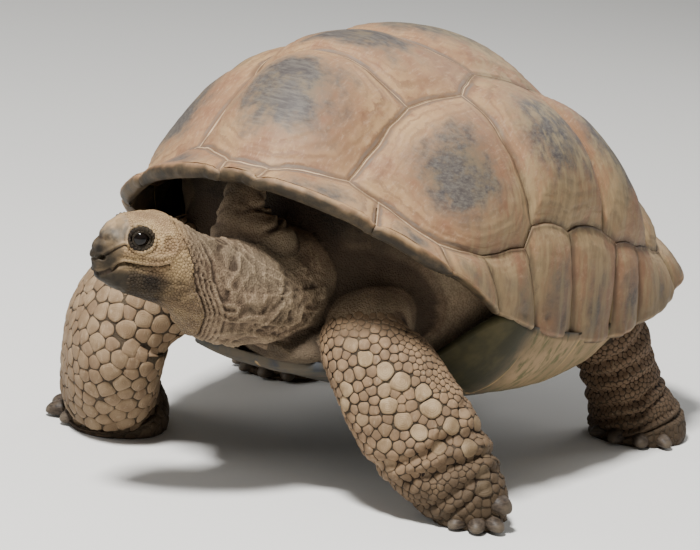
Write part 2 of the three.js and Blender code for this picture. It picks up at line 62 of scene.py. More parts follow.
# Places on the flat map of the shell: (radius, bearing from the head in degrees). Each is
# named for the plates that meet there, counted from the head.
BACK = {
    "v12": (0.385, 48), "v2_sides": (0.35, 73), "v23": (0.275, 98), "v3_sides": (0.375, 117),
    "v34": (0.4, 144), "v4_sides": (0.51, 142), "v45": (0.55, 161),
}
# Seam above the rim plates: (radius, bearing, bearing where the joint meets the rim).
RIM_SEAM = [
    (0.8, 7, 5), (0.745, 14, 15), (0.685, 28, 29), (0.725, 36, 35.5), (0.805, 50, 53),
    (0.845, 61, 66.5), (0.87, 73, 78), (0.825, 76, 80), (0.875, 88.5, 92), (0.855, 103, 102),
    (0.87, 108, 107), (0.845, 118, 118), (0.815, 128, 128), (0.82, 134, 134), (0.79, 146, 146),
    (0.75, 157.5, 158), (0.81, 171.5, 171.5),
]
SEAM_STEP = 0.0085
PLATE_RINGS = 46
PLATE_WALL = 7
PLATE_DEPTH = 14
INNER_RINGS = [-1, -8, -20, -34, 0]
CUSHION_EDGE = 0.09
BACK_DOMING = 9.0
FLANK_DOMING = 17.0
FURROW_DEPTH = 5.5
FURROW_WIDTH = 24
SEAM_LINE_WIDTH = 1.7
# Steps down at the last growth rings: (share of the way to the edge, drop).
GROWTH_STEPS = [(0.5, 0.8), (0.62, 1.2), (0.72, 1.2), (0.81, 1.5), (0.89, 1.2)]
# The colour layer's distance from the seam is in units of this.
SEAM_LAYER_UNIT = 25


def mix(a, b, share):
    """Straight blend from a to b."""
    return a + (b - a) * share


def smooth(low, high, x):
    """0 below low, 1 above high, and an S-curve between."""
    u = np.clip((x - low) / (high - low), 0, 1)
    return u * u * (3 - 2 * u)


def bell(away, width, power=2):
    """A bump one high along a line: e to the minus (distance / width)^power."""
    return np.exp(-np.abs(away / width) ** power)


def hills(places, size, seed):
    """Soft random hills from -1 to 1: a random height at each corner of a grid of cells of
    this size, joined by a cubic S-curve along each axis."""
    heights = np.random.default_rng(seed).uniform(-1, 1, 4096)
    grid = np.asarray(places, float) / size
    corner = np.floor(grid).astype(int)
    u = grid - corner
    u = u * u * (3 - 2 * u)
    total = 0
    for step in np.ndindex(*(2,) * grid.shape[-1]):
        at = corner + np.array(step)
        keys = (at * np.array([7919, 104729, 1299709])[: grid.shape[-1]]).sum(-1)
        keys = (keys ^ (keys >> 7)) * 2654435761
        weight = np.prod(np.where(np.array(step) == 1, u, 1 - u), axis=-1)
        total = total + weight * heights[(keys >> 11) & 4095]
    return total


def on_map(radius, bearing):
    """A place on the flat map, with the head at the bottom."""
    b = np.radians(bearing)
    return np.stack([radius * np.sin(b), -radius * np.cos(b)], -1)


def round_shell(bearing, at, values):
    """A value at each bearing: a smooth cubic through the given ones, the same on both sides."""
    bearing = np.abs((np.asarray(bearing, float) + 540) % 360 - 180)
    xs = np.array([-at[1], *at, 360 - at[-2]], float)
    ys = np.array([values[1], *values, values[-2]], float)
    i = np.clip(np.searchsorted(xs, bearing, side="right") - 1, 1, len(xs) - 3)
    width = xs[i + 1] - xs[i]
    u = (bearing - xs[i]) / width
    slope_0 = (ys[i + 1] - ys[i - 1]) / (xs[i + 1] - xs[i - 1])
    slope_1 = (ys[i + 2] - ys[i]) / (xs[i + 2] - xs[i])
    return ((2 * u**3 - 3 * u**2 + 1) * ys[i] + (u**3 - 2 * u**2 + u) * width * slope_0
            + (-2 * u**3 + 3 * u**2) * ys[i + 1] + (u**3 - u**2) * width * slope_1)


def dome(radius, bearing):
    """The shell's outer form: a rounded plan scaled by sin(radius), rising from the rim to
    the crown by (1 - sin^fall)^(1/belly), with a flare added towards the rim."""
    radius = np.clip(radius, 0, 1)
    b = np.radians(bearing)
    s, c = np.sin(b), np.cos(b)
    rim = round_shell(bearing, RIM_BEARINGS, RIM_HEIGHT)
    flare = round_shell(bearing, RIM_BEARINGS, RIM_FLARE)
    fall = round_shell(bearing, DOME_BEARINGS, DOME_FALL)
    belly = round_shell(bearing, DOME_BEARINGS, DOME_BELLY)
    n = mix(PLAN_EXPONENT_REAR, PLAN_EXPONENT_FRONT, (1 + c) / 2)
    reach = (np.abs(s) ** n + np.abs(c) ** n) ** (-1 / n)
    x = HALF_WIDTH * reach * s * (1 - TAPER * reach * c)
    y = -HALF_LENGTH * reach * c
    out = np.sin(np.pi * radius / 2)
    up = np.clip(1 - out**fall, 0, None) ** (1 / belly)
    flared = flare * (np.clip(out - FLARE_STARTS, 0, 1) / (1 - FLARE_STARTS)) ** 2 / np.hypot(x, y)
    return np.stack([x * (out + flared), APEX_Y * (1 - out) + y * (out + flared),
                     rim + (TOP_HEIGHT - rim) * up], -1)


def unit(v):
    """Vectors scaled to length one."""
    return v / np.maximum(np.linalg.norm(v, axis=-1, keepdims=True), 1e-9)


def dome_at(m):
    """The dome over places on the flat map, each with the way out of it."""
    def over(q):
        """The dome alone."""
        return dome(np.linalg.norm(q, axis=-1), np.degrees(np.arctan2(q[..., 0], -q[..., 1])))
    step = 0.004
    across = over(m + [step, 0]) - over(m - [step, 0])
    along = over(m + [0, step]) - over(m - [0, step])
    return over(m), unit(np.cross(across, along))


def ring_body(rings, ends=True):
    """Faces of a body made of rings of points: quads from ring to ring, and a fan to a
    middle point at each end, or quads from the last ring to the first."""
    count, across = rings.shape[:2]
    index = np.arange(count * across).reshape(count, across)
    if not ends:
        index = np.vstack([index, index[:1]])
    a, d = index[:-1], index[1:]
    quads = np.stack([a, np.roll(a, -1, 1), np.roll(d, -1, 1), d], -1).reshape(-1, 4)
    points = rings.reshape(-1, 3)
    if not ends:
        return points, quads, np.zeros((0, 3), int)
    first, last = len(points), len(points) + 1
    points = np.vstack([points, rings[0].mean(0), rings[-1].mean(0)])
    start = np.stack([np.full(across, first), np.roll(index[0], -1), index[0]], -1)
    finish = np.stack([np.full(across, last), index[-1], np.roll(index[-1], -1)], -1)
    return points, quads, np.vstack([start, finish])


def facing_out(points, quads, tris):
    """Turns every face round if the body's signed volume is negative."""
    corners = np.vstack([tris, quads[:, [0, 1, 2]], quads[:, [0, 2, 3]]])
    p, q, r = (points[corners[:, k]] for k in range(3))
    if (p * np.cross(q, r)).sum() < 0:
        return quads[:, ::-1], tris[:, ::-1]
    return quads, tris


def bodies(parts):
    """Several closed bodies as one list of points, quads, triangles and point colours."""
    points, quads, tris, tints = [], [], [], []
    start = 0
    for rings, tint, ends in parts:
        p, q, t = ring_body(rings, ends)
        q, t = facing_out(p, q, t)
        tint = np.asarray(tint, float).reshape(-1, 4)
        if ends:
            across = rings.shape[1]
            tint = np.vstack([tint, tint[:across].mean(0), tint[-across:].mean(0)])
        points.append(p)
        quads.append(q + start)
        tris.append(t + start)
        tints.append(tint)
        start += len(p)
    return np.vstack(points), np.vstack(quads), np.vstack(tris), np.vstack(tints)


def make_mesh(name, points, quads, tris, tints):
    """A smooth-shaded mesh object from millimetre points, with a colour layer named tint."""
    mesh = bpy.data.meshes.new(name)
    mesh.vertices.add(len(points))
    mesh.vertices.foreach_set("co", ((points + SHELL_CENTRE) * MM).astype(np.float32).ravel())
    mesh.loops.add(quads.size + tris.size)
    mesh.loops.foreach_set("vertex_index", np.concatenate([quads.ravel(), tris.ravel()]).astype(np.int32))
    sizes = np.concatenate([np.full(len(quads), 4), np.full(len(tris), 3)])
    mesh.polygons.add(len(sizes))
    mesh.polygons.foreach_set("loop_start", np.concatenate([[0], np.cumsum(sizes)[:-1]]).astype(np.int32))
    mesh.polygons.foreach_set("use_smooth", np.ones(len(sizes), bool))
    mesh.update(calc_edges=True)
    layer = mesh.color_attributes.new("tint", "FLOAT_COLOR", "POINT")
    layer.data.foreach_set("color", tints.astype(np.float32).ravel())
    piece = bpy.data.objects.new(name, mesh)
    bpy.context.scene.collection.objects.link(piece)
    return piece


def hang(piece, material, slot, *nodes):
    """Gives a piece its material and its place in the model."""
    piece.data.materials.clear()
    piece.data.materials.append(material)
    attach(piece, "root")
    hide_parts(*nodes)


class Finish:
    """A new material with short words for its nodes: each call adds a node and returns its
    output, and a plain value or another node's output goes into each named input."""

    def __init__(self, name):
        self.material = bpy.data.materials.new(name)
        self.material.use_nodes = True
        self.tree = self.material.node_tree
        self.shader = self.tree.nodes["Principled BSDF"]

    def node(self, kind, inputs, output=0, **settings):
        """Adds a node with these inputs and settings, and returns one of its outputs."""
        made = self.tree.nodes.new(kind)
        for key, value in settings.items():
            setattr(made, key, value)
        for key, value in inputs.items():
            self.feed(made.inputs[key], value)
        return made.outputs[output]

    def feed(self, socket, value):
        """Links a node's output to a socket, or sets the socket to a plain value."""
        if isinstance(value, bpy.types.NodeSocket):
            self.tree.links.new(value, socket)
        else:
            socket.default_value = value

    def math(self, kind, a, b=0.0):
        """A sum on one or two values, of Blender's kinds."""
        return self.node("ShaderNodeMath", {0: a, 1: b}, operation=kind)

    def times(self, a, b):
        """a times b."""
        return self.math("MULTIPLY", a, b)

    def plus(self, a, b):
        """a plus b."""
        return self.math("ADD", a, b)

    def less(self, a, b):
        """a less b."""
        return self.math("SUBTRACT", a, b)

    def step(self, value, low, high):
        """0 below low, 1 above high, smooth between."""
        return self.node("ShaderNodeMapRange", {"Value": value, "From Min": low, "From Max": high},
                         interpolation_type="SMOOTHSTEP")

    def blend(self, share, a, b):
        """Colour a towards colour b by a share."""
        made = self.tree.nodes.new("ShaderNodeMix")
        made.data_type = "RGBA"
        for socket, value in zip([made.inputs[0], made.inputs[6], made.inputs[7]], [share, a, b]):
            self.feed(socket, value)
        return made.outputs[2]

    def tones(self, value, low, high, first, second):
        """One paint colour below low, another above high, and a smooth blend between."""
        return self.blend(self.step(value, low, high), rgb(first), rgb(second))

    def over(self, colour, share, strength, hexa):
        """A paint colour laid over another: the share covered, times how thickly."""
        return self.blend(self.times(share, strength), colour, rgb(hexa))

    def place(self, size=(1, 1, 1), turn=(0, 0, 0)):
        """Object coordinates, stretched and turned."""
        where = self.node("ShaderNodeTexCoord", {}, "Object")
        return self.node("ShaderNodeMapping", {"Vector": where, "Scale": size, "Rotation": turn})

    def noise(self, where, scale, detail, rough):
        """Cloudy noise from 0 to 1, of so many waves to a metre."""
        return self.node("ShaderNodeTexNoise", {"Vector": where, "Scale": scale, "Detail": detail,
                                                "Roughness": rough})

    def layers(self, name):
        """The red, green, blue and alpha of a colour layer on the mesh."""
        layer = self.tree.nodes.new("ShaderNodeAttribute")
        layer.attribute_name = name
        split = self.tree.nodes.new("ShaderNodeSeparateColor")
        self.tree.links.new(layer.outputs["Color"], split.inputs[0])
        return [split.outputs[0], split.outputs[1], split.outputs[2], layer.outputs["Alpha"]]

    def finish(self, colour, rough, height=None, depth=0.001, strength=1.0, shine=0.18):
        """Gives the surface its colour, roughness, grain and shine, and returns the material."""
        self.feed(self.shader.inputs["Base Color"], colour)
        self.feed(self.shader.inputs["Specular IOR Level"], shine)
        self.feed(self.shader.inputs["Roughness"], rough)
        if height is not None:
            bump = self.node("ShaderNodeBump", {"Height": height, "Distance": depth, "Strength": strength})
            self.feed(self.shader.inputs["Normal"], bump)
        return self.material


def rgb(hexa):
    """A paint colour, written as on a colour card, in the linear light that shaders use."""
    c = np.array([int(hexa[i:i + 2], 16) / 255 for i in (0, 2, 4)])
    c = np.where(c <= 0.04045, c / 12.92, ((c + 0.055) / 1.055) ** 2.4)
    return (*c, 1.0)


def horn_finish():
    """Weathered horn: pinkish tan with a grey-blue middle to each plate, growth lines, pale
    scratches, a grey edge and a cream seam. Layers: growth (0 middle to 1 edge), distance
    from the seam, nothing, and a dark olive: painted shade under the rim and on its lip,
    and darker towards the foot of the steep plates."""
    f = Finish("shell horn")
    growth, seam, _, under = f.layers("tint")
    wide = f.noise(f.place(), 5.5, 5.0, 0.6)
    patch = f.noise(f.place(), 19.0, 6.0, 0.65)
    fine = f.noise(f.place(), 130.0, 4.0, 0.6)
    scratch = f.noise(f.place((1, 5, 9), (0.5, 0.3, 0.6)), 26.0, 6.0, 0.7)
    scuff = f.noise(f.place((7, 1.2, 3), (0.2, 0.9, -0.4)), 32.0, 5.0, 0.7)
    tan = f.tones(wide, 0.38, 0.62, "86664b", "a1815c")
    tan = f.over(tan, f.step(patch, 0.42, 0.7), 0.8, "77543f")
    tan = f.over(tan, f.step(scuff, 0.5, 0.7), 0.4, "ae9276")
    ragged = f.plus(growth, f.times(f.less(patch, 0.5), 0.95))
    middle = f.less(1.0, f.step(ragged, 0.28, 0.76))
    blue = f.tones(scratch, 0.34, 0.72, "303236", "5a5853")
    blue = f.blend(f.step(patch, 0.46, 0.66), blue, rgb("665b49"))
    colour = f.blend(f.times(middle, 0.9), tan, blue)
    lines = f.math("SINE", f.plus(f.times(growth, 46.0), f.times(patch, 16.0)))
    lines = f.times(f.step(lines, 0.3, 1.0), f.step(growth, 0.45, 0.8))
    lines = f.times(lines, f.step(wide, 0.38, 0.6))
    colour = f.over(colour, lines, 0.4, "5f4333")
    near = f.less(1.0, f.step(seam, 0.16, 0.5))
    colour = f.over(colour, near, 0.7, "5a4535")
    height = f.node("ShaderNodeSeparateXYZ", {"Vector": f.place()}, 2)
    behind = f.times(f.node("ShaderNodeSeparateXYZ", {"Vector": f.place()}, 1), 0.8)
    high = f.step(f.plus(f.less(height, behind), f.times(patch, 0.06)), 0.6, 0.72)
    streak = f.noise(f.place((3, 3, 0.35)), 16.0, 4.0, 0.65)
    green = f.tones(streak, 0.42, 0.6, "6b6148", "8f7d5c")
    weathered = f.times(f.less(1.0, high), f.step(f.plus(streak, wide), 0.86, 1.1))
    colour = f.blend(f.times(weathered, 0.6), colour, green)
    cream = f.less(1.0, f.step(f.plus(seam, f.times(fine, 0.03)), 0.055, 0.1))
    beside = f.math("ABSOLUTE", f.less(seam, 0.24))
    grey = f.times(f.less(1.0, f.step(beside, 0.04, 0.13)), high)
    grey = f.times(grey, f.step(patch, 0.36, 0.62))
    colour = f.over(colour, grey, 0.45, "6f6a62")
    seam_tone = f.blend(high, rgb("5f4a38"), rgb("c2a785"))
    worn = f.plus(0.3, f.times(f.step(patch, 0.36, 0.62), 0.5))
    colour = f.blend(f.times(cream, worn), colour, seam_tone)
    # painted shade: the dark olive that the last layer lays under the rim and on its lip
    olive = f.tones(patch, 0.4, 0.65, "282116", "4f412e")
    olive = f.over(olive, cream, 0.7, "958251")
    colour = f.blend(under, colour, olive)
    rough = f.node("ShaderNodeMapRange", {"Value": scuff, "To Min": 0.5, "To Max": 0.7})
    relief = f.plus(f.times(scratch, 0.5), f.times(fine, 0.35))
    relief = f.less(relief, f.times(lines, 0.35))
    return f.finish(colour, rough, relief, 0.0012, 0.6, 0.25)


HORN = horn_finish()


def seam_line(corners):
    """Points along a closed outline of straight sides on the map. A side is cut the same
    way whichever plate it belongs to, so that neighbours meet point for point."""
    points = []
    for a, b in zip(corners, np.roll(corners, -1, axis=0)):
        count = max(4, round(np.linalg.norm(b - a) / SEAM_STEP))
        points.append(mix(a, b, (np.arange(count) / count)[:, None]))
    return np.vstack(points)


def wander(m):
    """Map places pushed aside by slow waves, so that the seams are not ruled lines."""
    wide = np.stack([hills(m, 0.11, 3), hills(m, 0.11, 4)], -1)
    narrow = np.stack([hills(m, 0.035, 5), hills(m, 0.035, 6)], -1)
    return m + 0.0075 * wide + 0.0025 * narrow


def cushion(m, corners):
    """A swelling over a many-sided plate: the product over its sides of 1 - exp(-d / k), d
    being the distance from the side, so that no crease runs in from the corners."""
    along = unit(np.roll(corners, -1, axis=0) - corners)
    inward = np.stack([-along[:, 1], along[:, 0]], -1)
    if ((corners.mean(0) - corners) * inward).sum() < 0:
        inward = -inward
    shared = ((inward @ inward.T) > 0.85).sum(1)
    swell = np.ones(m.shape[:-1])
    for start, way, count in zip(corners, inward, shared):
        away = np.clip(((m - start) * way).sum(-1), 0, None)
        swell = swell * (1 - np.exp(-away / CUSHION_EDGE)) ** (1 / count)
    return swell / swell.max()


def horn_relief(growth, swell, from_seam, m, doming, seed):
    """Height of the horn: a low cushion, a step down at each of the last growth rings, a
    furrow along the seam, and the seam's own fine raised line."""
    height = doming * swell
    for at, drop in GROWTH_STEPS:
        place = at + 0.06 * hills(m, 0.14, seed)
        height = height - drop * smooth(place - 0.014, place + 0.014, growth)
    fine = np.sin(growth * 110 + 3 * hills(m, 0.1, seed + 1))
    height = height + 0.22 * fine * smooth(0.35, 0.7, growth)
    height = height - FURROW_DEPTH * bell(from_seam, FURROW_WIDTH, 1.4)
    height = height + 1.4 * bell(from_seam, SEAM_LINE_WIDTH) + 1.2 * bell(from_seam - 9, 3.5)
    height = height + 1.1 * hills(m, 0.09, seed + 2) * smooth(0, 30, from_seam)
    return height + 0.35 * hills(m, 0.022, seed + 3) * smooth(0, 12, from_seam)


def horn_plate(name, corners, node, seed, doming=BACK_DOMING):
    """A plate of the back: rings that shrink from the seam to a rounded middle, with the
    relief above the dome, a wall under the seam and a plain inner face."""
    corners = np.array([on_map(*c[:2]) for c in corners])
    edge = seam_line(corners)
    middle = edge.mean(0)
    spokes = edge - middle
    length = np.linalg.norm(spokes, axis=-1, keepdims=True)
    rounded = spokes * (mix(length, length.mean(), 0.6) / length)
    growth = np.linspace(0.02, 1, PLATE_RINGS)[:, None]
    blend = smooth(0.3, 1.05, growth)[..., None]
    m = middle + growth[..., None] * mix(rounded, spokes, blend)
    swell = cushion(m, corners)
    m = wander(m)
    surface, out = dome_at(m)
    reach = np.linalg.norm(surface[-1] - dome_at(wander(middle[None]))[0], axis=-1)
    away = np.linalg.norm(surface - surface[-1], axis=-1)
    from_seam = np.minimum(away, (1 - growth) * reach)
    square = np.clip(from_seam / np.maximum(away, 1e-6), 0, 1)
    from_seam = away * mix(square, 1, 0.15)
    lift = horn_relief(growth + 0 * from_seam, swell, from_seam, m, doming, seed)
    top = surface + out * lift[..., None]
    wall = top[-1:] - out[-1:] * PLATE_WALL
    inside = surface[INNER_RINGS] - out[INNER_RINGS] * PLATE_DEPTH
    inside[0] = mix(inside[0], inside[1], 0.2)
    rings = np.concatenate([top, wall, inside])
    tint = np.zeros((*rings.shape[:2], 4))
    tint[..., 0] = 1
    tint[:len(top), :, 0] = growth
    tint[:len(top), :, 1] = np.clip(from_seam / SEAM_LAYER_UNIT, 0, 1)
    piece = make_mesh(name, *bodies([(rings, tint, True)]))
    hang(piece, HORN, "shell_horn", node)


def mirrored(places):
    """The same places on the animal's right side, in the opposite order, each with the
    bearing at which its joint meets the rim."""
    return [(p[0], -p[1], -p[-1]) for p in reversed(places)]


half_backs = [
    [RIM_SEAM[0], RIM_SEAM[1], RIM_SEAM[2], BACK["v12"]],
    [BACK["v12"], BACK["v2_sides"], BACK["v23"]],
    [BACK["v23"], BACK["v3_sides"], BACK["v34"]],
    [BACK["v34"], BACK["v4_sides"], BACK["v45"]],
    [BACK["v45"], RIM_SEAM[15], RIM_SEAM[16]],
]
for i, half in enumerate(half_backs):
    horn_plate(f"back_plate_{i + 1}", half + mirrored(half), f"vertebral_scute_{i + 1}", 20 + i)

flanks = [
    [BACK["v12"], RIM_SEAM[2], *RIM_SEAM[3:8], BACK["v2_sides"]],
    [BACK["v2_sides"], *RIM_SEAM[7:10], BACK["v3_sides"], BACK["v23"]],
    [BACK["v3_sides"], *RIM_SEAM[9:13], BACK["v4_sides"], BACK["v34"]],
    [BACK["v4_sides"], *RIM_SEAM[12:16], BACK["v45"]],
]
for i, flank in enumerate(flanks):
    horn_plate(f"flank_plate_left_{i + 1}", flank, f"costal_scute_left_{i + 1}", 30 + i, FLANK_DOMING)
    horn_plate(f"flank_plate_right_{i + 1}", mirrored(flank), f"costal_scute_right_{i + 1}", 40 + i,
               FLANK_DOMING)

# ---- Rim plates -----------------------------------------------------------------------
# Twenty-four plates of horn edge the shell. Each wraps over the rim's rounded lip and back
# underneath, where painted shade makes it dark olive; those on the flanks stand steep, with
# a lumpy foot.
RIM_THICKNESS = 23
SEAM_THICKNESS = 15
RIM_ROWS = 34
LIP_ROWS = 7
UNDER_ROWS = 14


def along_line(points, count):
    """Points evenly spaced along each column's length."""
    length = np.concatenate([np.zeros((1, points.shape[1])),
                             np.cumsum(np.linalg.norm(np.diff(points, axis=0), axis=-1), axis=0)])
    want = np.linspace(0, 1, count)
    columns = []
    for j in range(points.shape[1]):
        columns.append(np.stack([np.interp(want * length[-1, j], length[:, j], points[:, j, k])
                                 for k in range(3)], -1))
    return np.stack(columns, 1)


def grid_out(surface, above):
    """The way out of a grid surface: square to it, on the side away from the point above."""
    down = np.gradient(surface, axis=0)
    over = np.gradient(surface, axis=1)
    out = unit(np.cross(down, over))
    middle = surface.reshape(-1, 3).mean(0)
    if (out.reshape(-1, 3).mean(0) * (middle - above)).sum() < 0:
        out = -out
    return out


def rim_plate(places, seed):
    """One rim plate as rings across it: down the outside from the seam, round the lip, back
    up the inside, and closed by a wall at the seam. Its relief is a bulge across it less a
    furrow at each joint and at the seam, with a knobbly foot where the plate is steep."""
    corners = np.array([on_map(p[0], p[1]) for p in places])
    rims = np.array([p[2] for p in places], float)
    seam, rim = [], []
    for i in range(len(places) - 1):
        count = max(4, round(np.linalg.norm(corners[i + 1] - corners[i]) / SEAM_STEP))
        share = (np.arange(count) / count)[:, None]
        seam.append(mix(corners[i], corners[i + 1], share))
        rim.append(mix(rims[i], rims[i + 1], share[:, 0]))
    seam = wander(np.vstack([*seam, corners[-1:]]))
    rim = np.append(np.concatenate(rim), rims[-1])
    radius = np.linalg.norm(seam, axis=-1)
    bearing = np.degrees(np.arctan2(seam[:, 0], -seam[:, 1]))
    turn = (rim - bearing + 180) % 360 - 180
    share = np.sin(np.linspace(0, np.pi / 2, 90))[:, None]
    surface = dome(mix(radius, 1.0, share), bearing + turn * share)
    surface = along_line(surface, RIM_ROWS + 1)
    out = grid_out(surface, np.array([0, 0, 250.0]))
    step = np.linalg.norm(np.diff(surface, axis=1), axis=-1).mean(0)
    across = np.concatenate([[0], np.cumsum(step)])
    span = np.linalg.norm(np.diff(surface, axis=0), axis=-1).sum(0)
    down = np.linspace(0, 1, RIM_ROWS + 1)[:, None] * span
    from_joint = np.minimum(across, across[-1] - across)[None] + 0 * down
    from_seam = np.minimum(from_joint, down)
    middle = across[-1] / 2
    growth = np.clip(np.maximum(np.abs(across - middle) / middle, np.abs(down / span - 0.62) / 0.62), 0, 1)
    steep = smooth(60, 76, np.abs(rim)) * (1 - smooth(134, 150, rim))
    front = 1 - smooth(58, 74, np.abs(rim))
    bulge = np.sqrt(np.clip(1 - (2 * across / across[-1] - 1) ** 2, 0, 1))
    low = smooth(0.5, 1.0, down / span)
    lift = (4 + 5 * steep) * (bulge[None] - 0.6) * smooth(0, 40, down)
    furrow = mix(11, 25, steep)
    lift = lift - np.maximum(5.6 * bell(from_joint, furrow, 1.5),
                             9.5 * bell(down, mix(13, 34, steep), 1.4))
    lift = lift + 1.5 * bell(from_seam, SEAM_LINE_WIDTH)
    knobs = 3.0 * hills(surface, 26, seed) + 2.2 * hills(surface, 11, seed + 5)
    lift = lift + low * steep * smooth(0, 16, from_joint) * knobs
    lift = lift + 0.9 * hills(surface, 30, seed + 1) + 0.35 * hills(surface, 8, seed + 2)
    lift = lift + 0.5 * np.sin(growth * 46 + 2 * hills(surface, 30, seed + 3)) * smooth(0.3, 0.8, growth)
    top = surface + out * lift[..., None]
    edge = unit(surface[-1] - surface[-3])
    half = RIM_THICKNESS / 2 * (1 - 0.25 * bell(from_joint[-1], 8))
    nick = front * (2.0 * hills(surface[-1], 16, seed + 4) + 2.0 * hills(surface[-1], 40, seed + 6)
                    + 0.9 * hills(surface[-1], 7, seed + 8))
    centre = surface[-1] + out[-1] * (lift[-1] - half)[:, None] - edge * (half * 0.9)[:, None]
    turns = np.linspace(0, np.pi, LIP_ROWS + 2)[1:-1][:, None, None]
    lip = centre + out[-1] * np.cos(turns) * half[:, None] + edge * np.sin(turns) * (half + nick)[:, None]
    top[-1] = centre + out[-1] * half[:, None]
    top[-5:-1] = mix(top[-6], top[-1], np.array([0.2, 0.4, 0.6, 0.8])[:, None, None])
    rows = np.linspace(RIM_ROWS - 3, 1, UNDER_ROWS).round().astype(int)
    thick = mix(RIM_THICKNESS, SEAM_THICKNESS, smooth(0.2, 1, 1 - rows / RIM_ROWS))[:, None, None]
    under = surface[rows] - out[rows] * thick
    under = under + out[rows] * (1.5 * hills(surface[rows], 34, seed + 7)
                                 + 2.0 * bell(from_joint[rows], 2.2))[..., None]
    loop = np.concatenate([top, lip, under])
    outside = slice(0, len(top))
    round_lip = slice(len(top), len(top) + LIP_ROWS)
    inside = slice(len(top) + LIP_ROWS, len(loop))
    tint = np.zeros((*loop.shape[:2], 4))
    tint[..., 0] = 0.95
    tint[..., 1] = np.clip(from_joint[0] / SEAM_LAYER_UNIT, 0, 1)[None]
    tint[round_lip, :, 1] = 1
    tint[outside, :, 0] = mix(growth, 0.72, 0.55)
    tint[outside, :, 1] = np.clip(from_seam / SEAM_LAYER_UNIT, 0, 1)
    # The last layer is painted shade in dark olive: over the lip's face from a ragged line near its top,
    # all over the underside, and on the steep plates darker towards their foot.
    ragged = 0.14 * hills(surface[-1], 12, seed + 9)[None]
    tint[round_lip, :, 3] = smooth(-0.1, 0.4, np.linspace(0, 1, LIP_ROWS)[:, None] + ragged)
    tint[inside, :, 3] = 1
    tint[outside, :, 3] = 0.42 * smooth(0.3, 1, down / span) * steep
    rings, tint = np.swapaxes(loop, 0, 1), np.swapaxes(tint, 0, 1)
    return rings, tint, True


# Each plate runs from one numbered place of the rim seam to another.
RIM_RUNS = {
    "front": [(0, 3), (3, 4), (4, 5)],
    "side": [(5, 6), (6, 8), (8, 10), (10, 11)],
    "rear": [(11, 13), (13, 14), (14, 15), (15, 16)],
}
for run, plates in RIM_RUNS.items():
    for side in ("left", "right"):
        parts = []
        for number, (first, last) in enumerate(plates):
            places = RIM_SEAM[first:last + 1]
            if side == "right":
                places = mirrored(places)
            parts.append(rim_plate(places, 60 + 10 * number + len(run) + len(side)))
        piece = make_mesh(f"rim_plates_{run}_{side}", *bodies(parts))
        hang(piece, HORN, "shell_horn", f"marginal_scutes_{run}_{side}")

nuchal = [*mirrored([RIM_SEAM[0]]), RIM_SEAM[0]]
hang(make_mesh("nape_plate", *bodies([rim_plate(nuchal, 7)])), HORN, "shell_horn", "nuchal_scute")
tail_end = (RIM_SEAM[16][0], 360 - RIM_SEAM[16][1], 360 - RIM_SEAM[16][2])
hang(make_mesh("tail_plate", *bodies([rim_plate([RIM_SEAM[16], tail_end], 8)])), HORN, "shell_horn",
     "supracaudal_scute")

# ---- Plastron -------------------------------------------------------------------------
# The belly plate of horn, joined to the rim by a steep bridge on each side. Its scutes
# meet along the middle and at six cross seams.
PLASTRON_STATIONS = np.array([
    # y, half width, height of the edge, height of the middle, squareness of the section
    [-404, 80, 214, 206, 2.5],
    [-385, 118, 211, 196, 2.5],
    [-330, 150, 204, 180, 2.5],
    [-262, 196, 200, 160, 3],
    [-205, 314, 300, 144, 4],
    [-110, 335, 268, 130, 5.5],
    [24, 350, 238, 124, 6.5],
    [130, 352, 232, 124, 6.5],
    [200, 346, 230, 129, 6],
    [250, 320, 214, 138, 5],
    [285, 214, 196, 148, 3],
    [335, 168, 198, 164, 2.5],
    [385, 116, 206, 180, 2.5],
    [402, 70, 212, 196, 2.5],
])
PLASTRON_THICKNESS = 15
PLASTRON_SEAMS = [-322, -232, -92, 60, 212, 318]
BRIDGE_SEAM_X = 236
PLASTRON_ROWS = 130
PLASTRON_COLUMNS = 96


def stations(table, t):
    """The rows of a table read at any share t of the way down it: a smooth cubic through
    each row (Catmull-Rom)."""
    table = np.asarray(table, float)
    last = len(table) - 1
    place = np.clip(t, 0, 1) * last
    i = np.minimum(last - 1, np.floor(place)).astype(int)
    u = (place - i).reshape(-1, *[1] * (table.ndim - 1))
    p0, p1, p2, p3 = (table[np.clip(i + k, 0, last)] for k in (-1, 0, 1, 2))
    return 0.5 * (2 * p1 + (p2 - p0) * u + (2 * p0 - 5 * p1 + 4 * p2 - p3) * u**2
                  + (3 * p1 - p0 - 3 * p2 + p3) * u**3)


def belly_height(x, y):
    """Height of the plate's upper face under a place, a little into the flesh above it."""
    table = stations(PLASTRON_STATIONS, np.linspace(0, 1, 400))
    half, edge, keel, square = (np.interp(y, table[:, 0], table[:, k]) for k in (1, 2, 3, 4))
    return keel + (edge - keel) * np.clip(np.abs(x) / half, 0, 1) ** square + PLASTRON_THICKNESS - 2


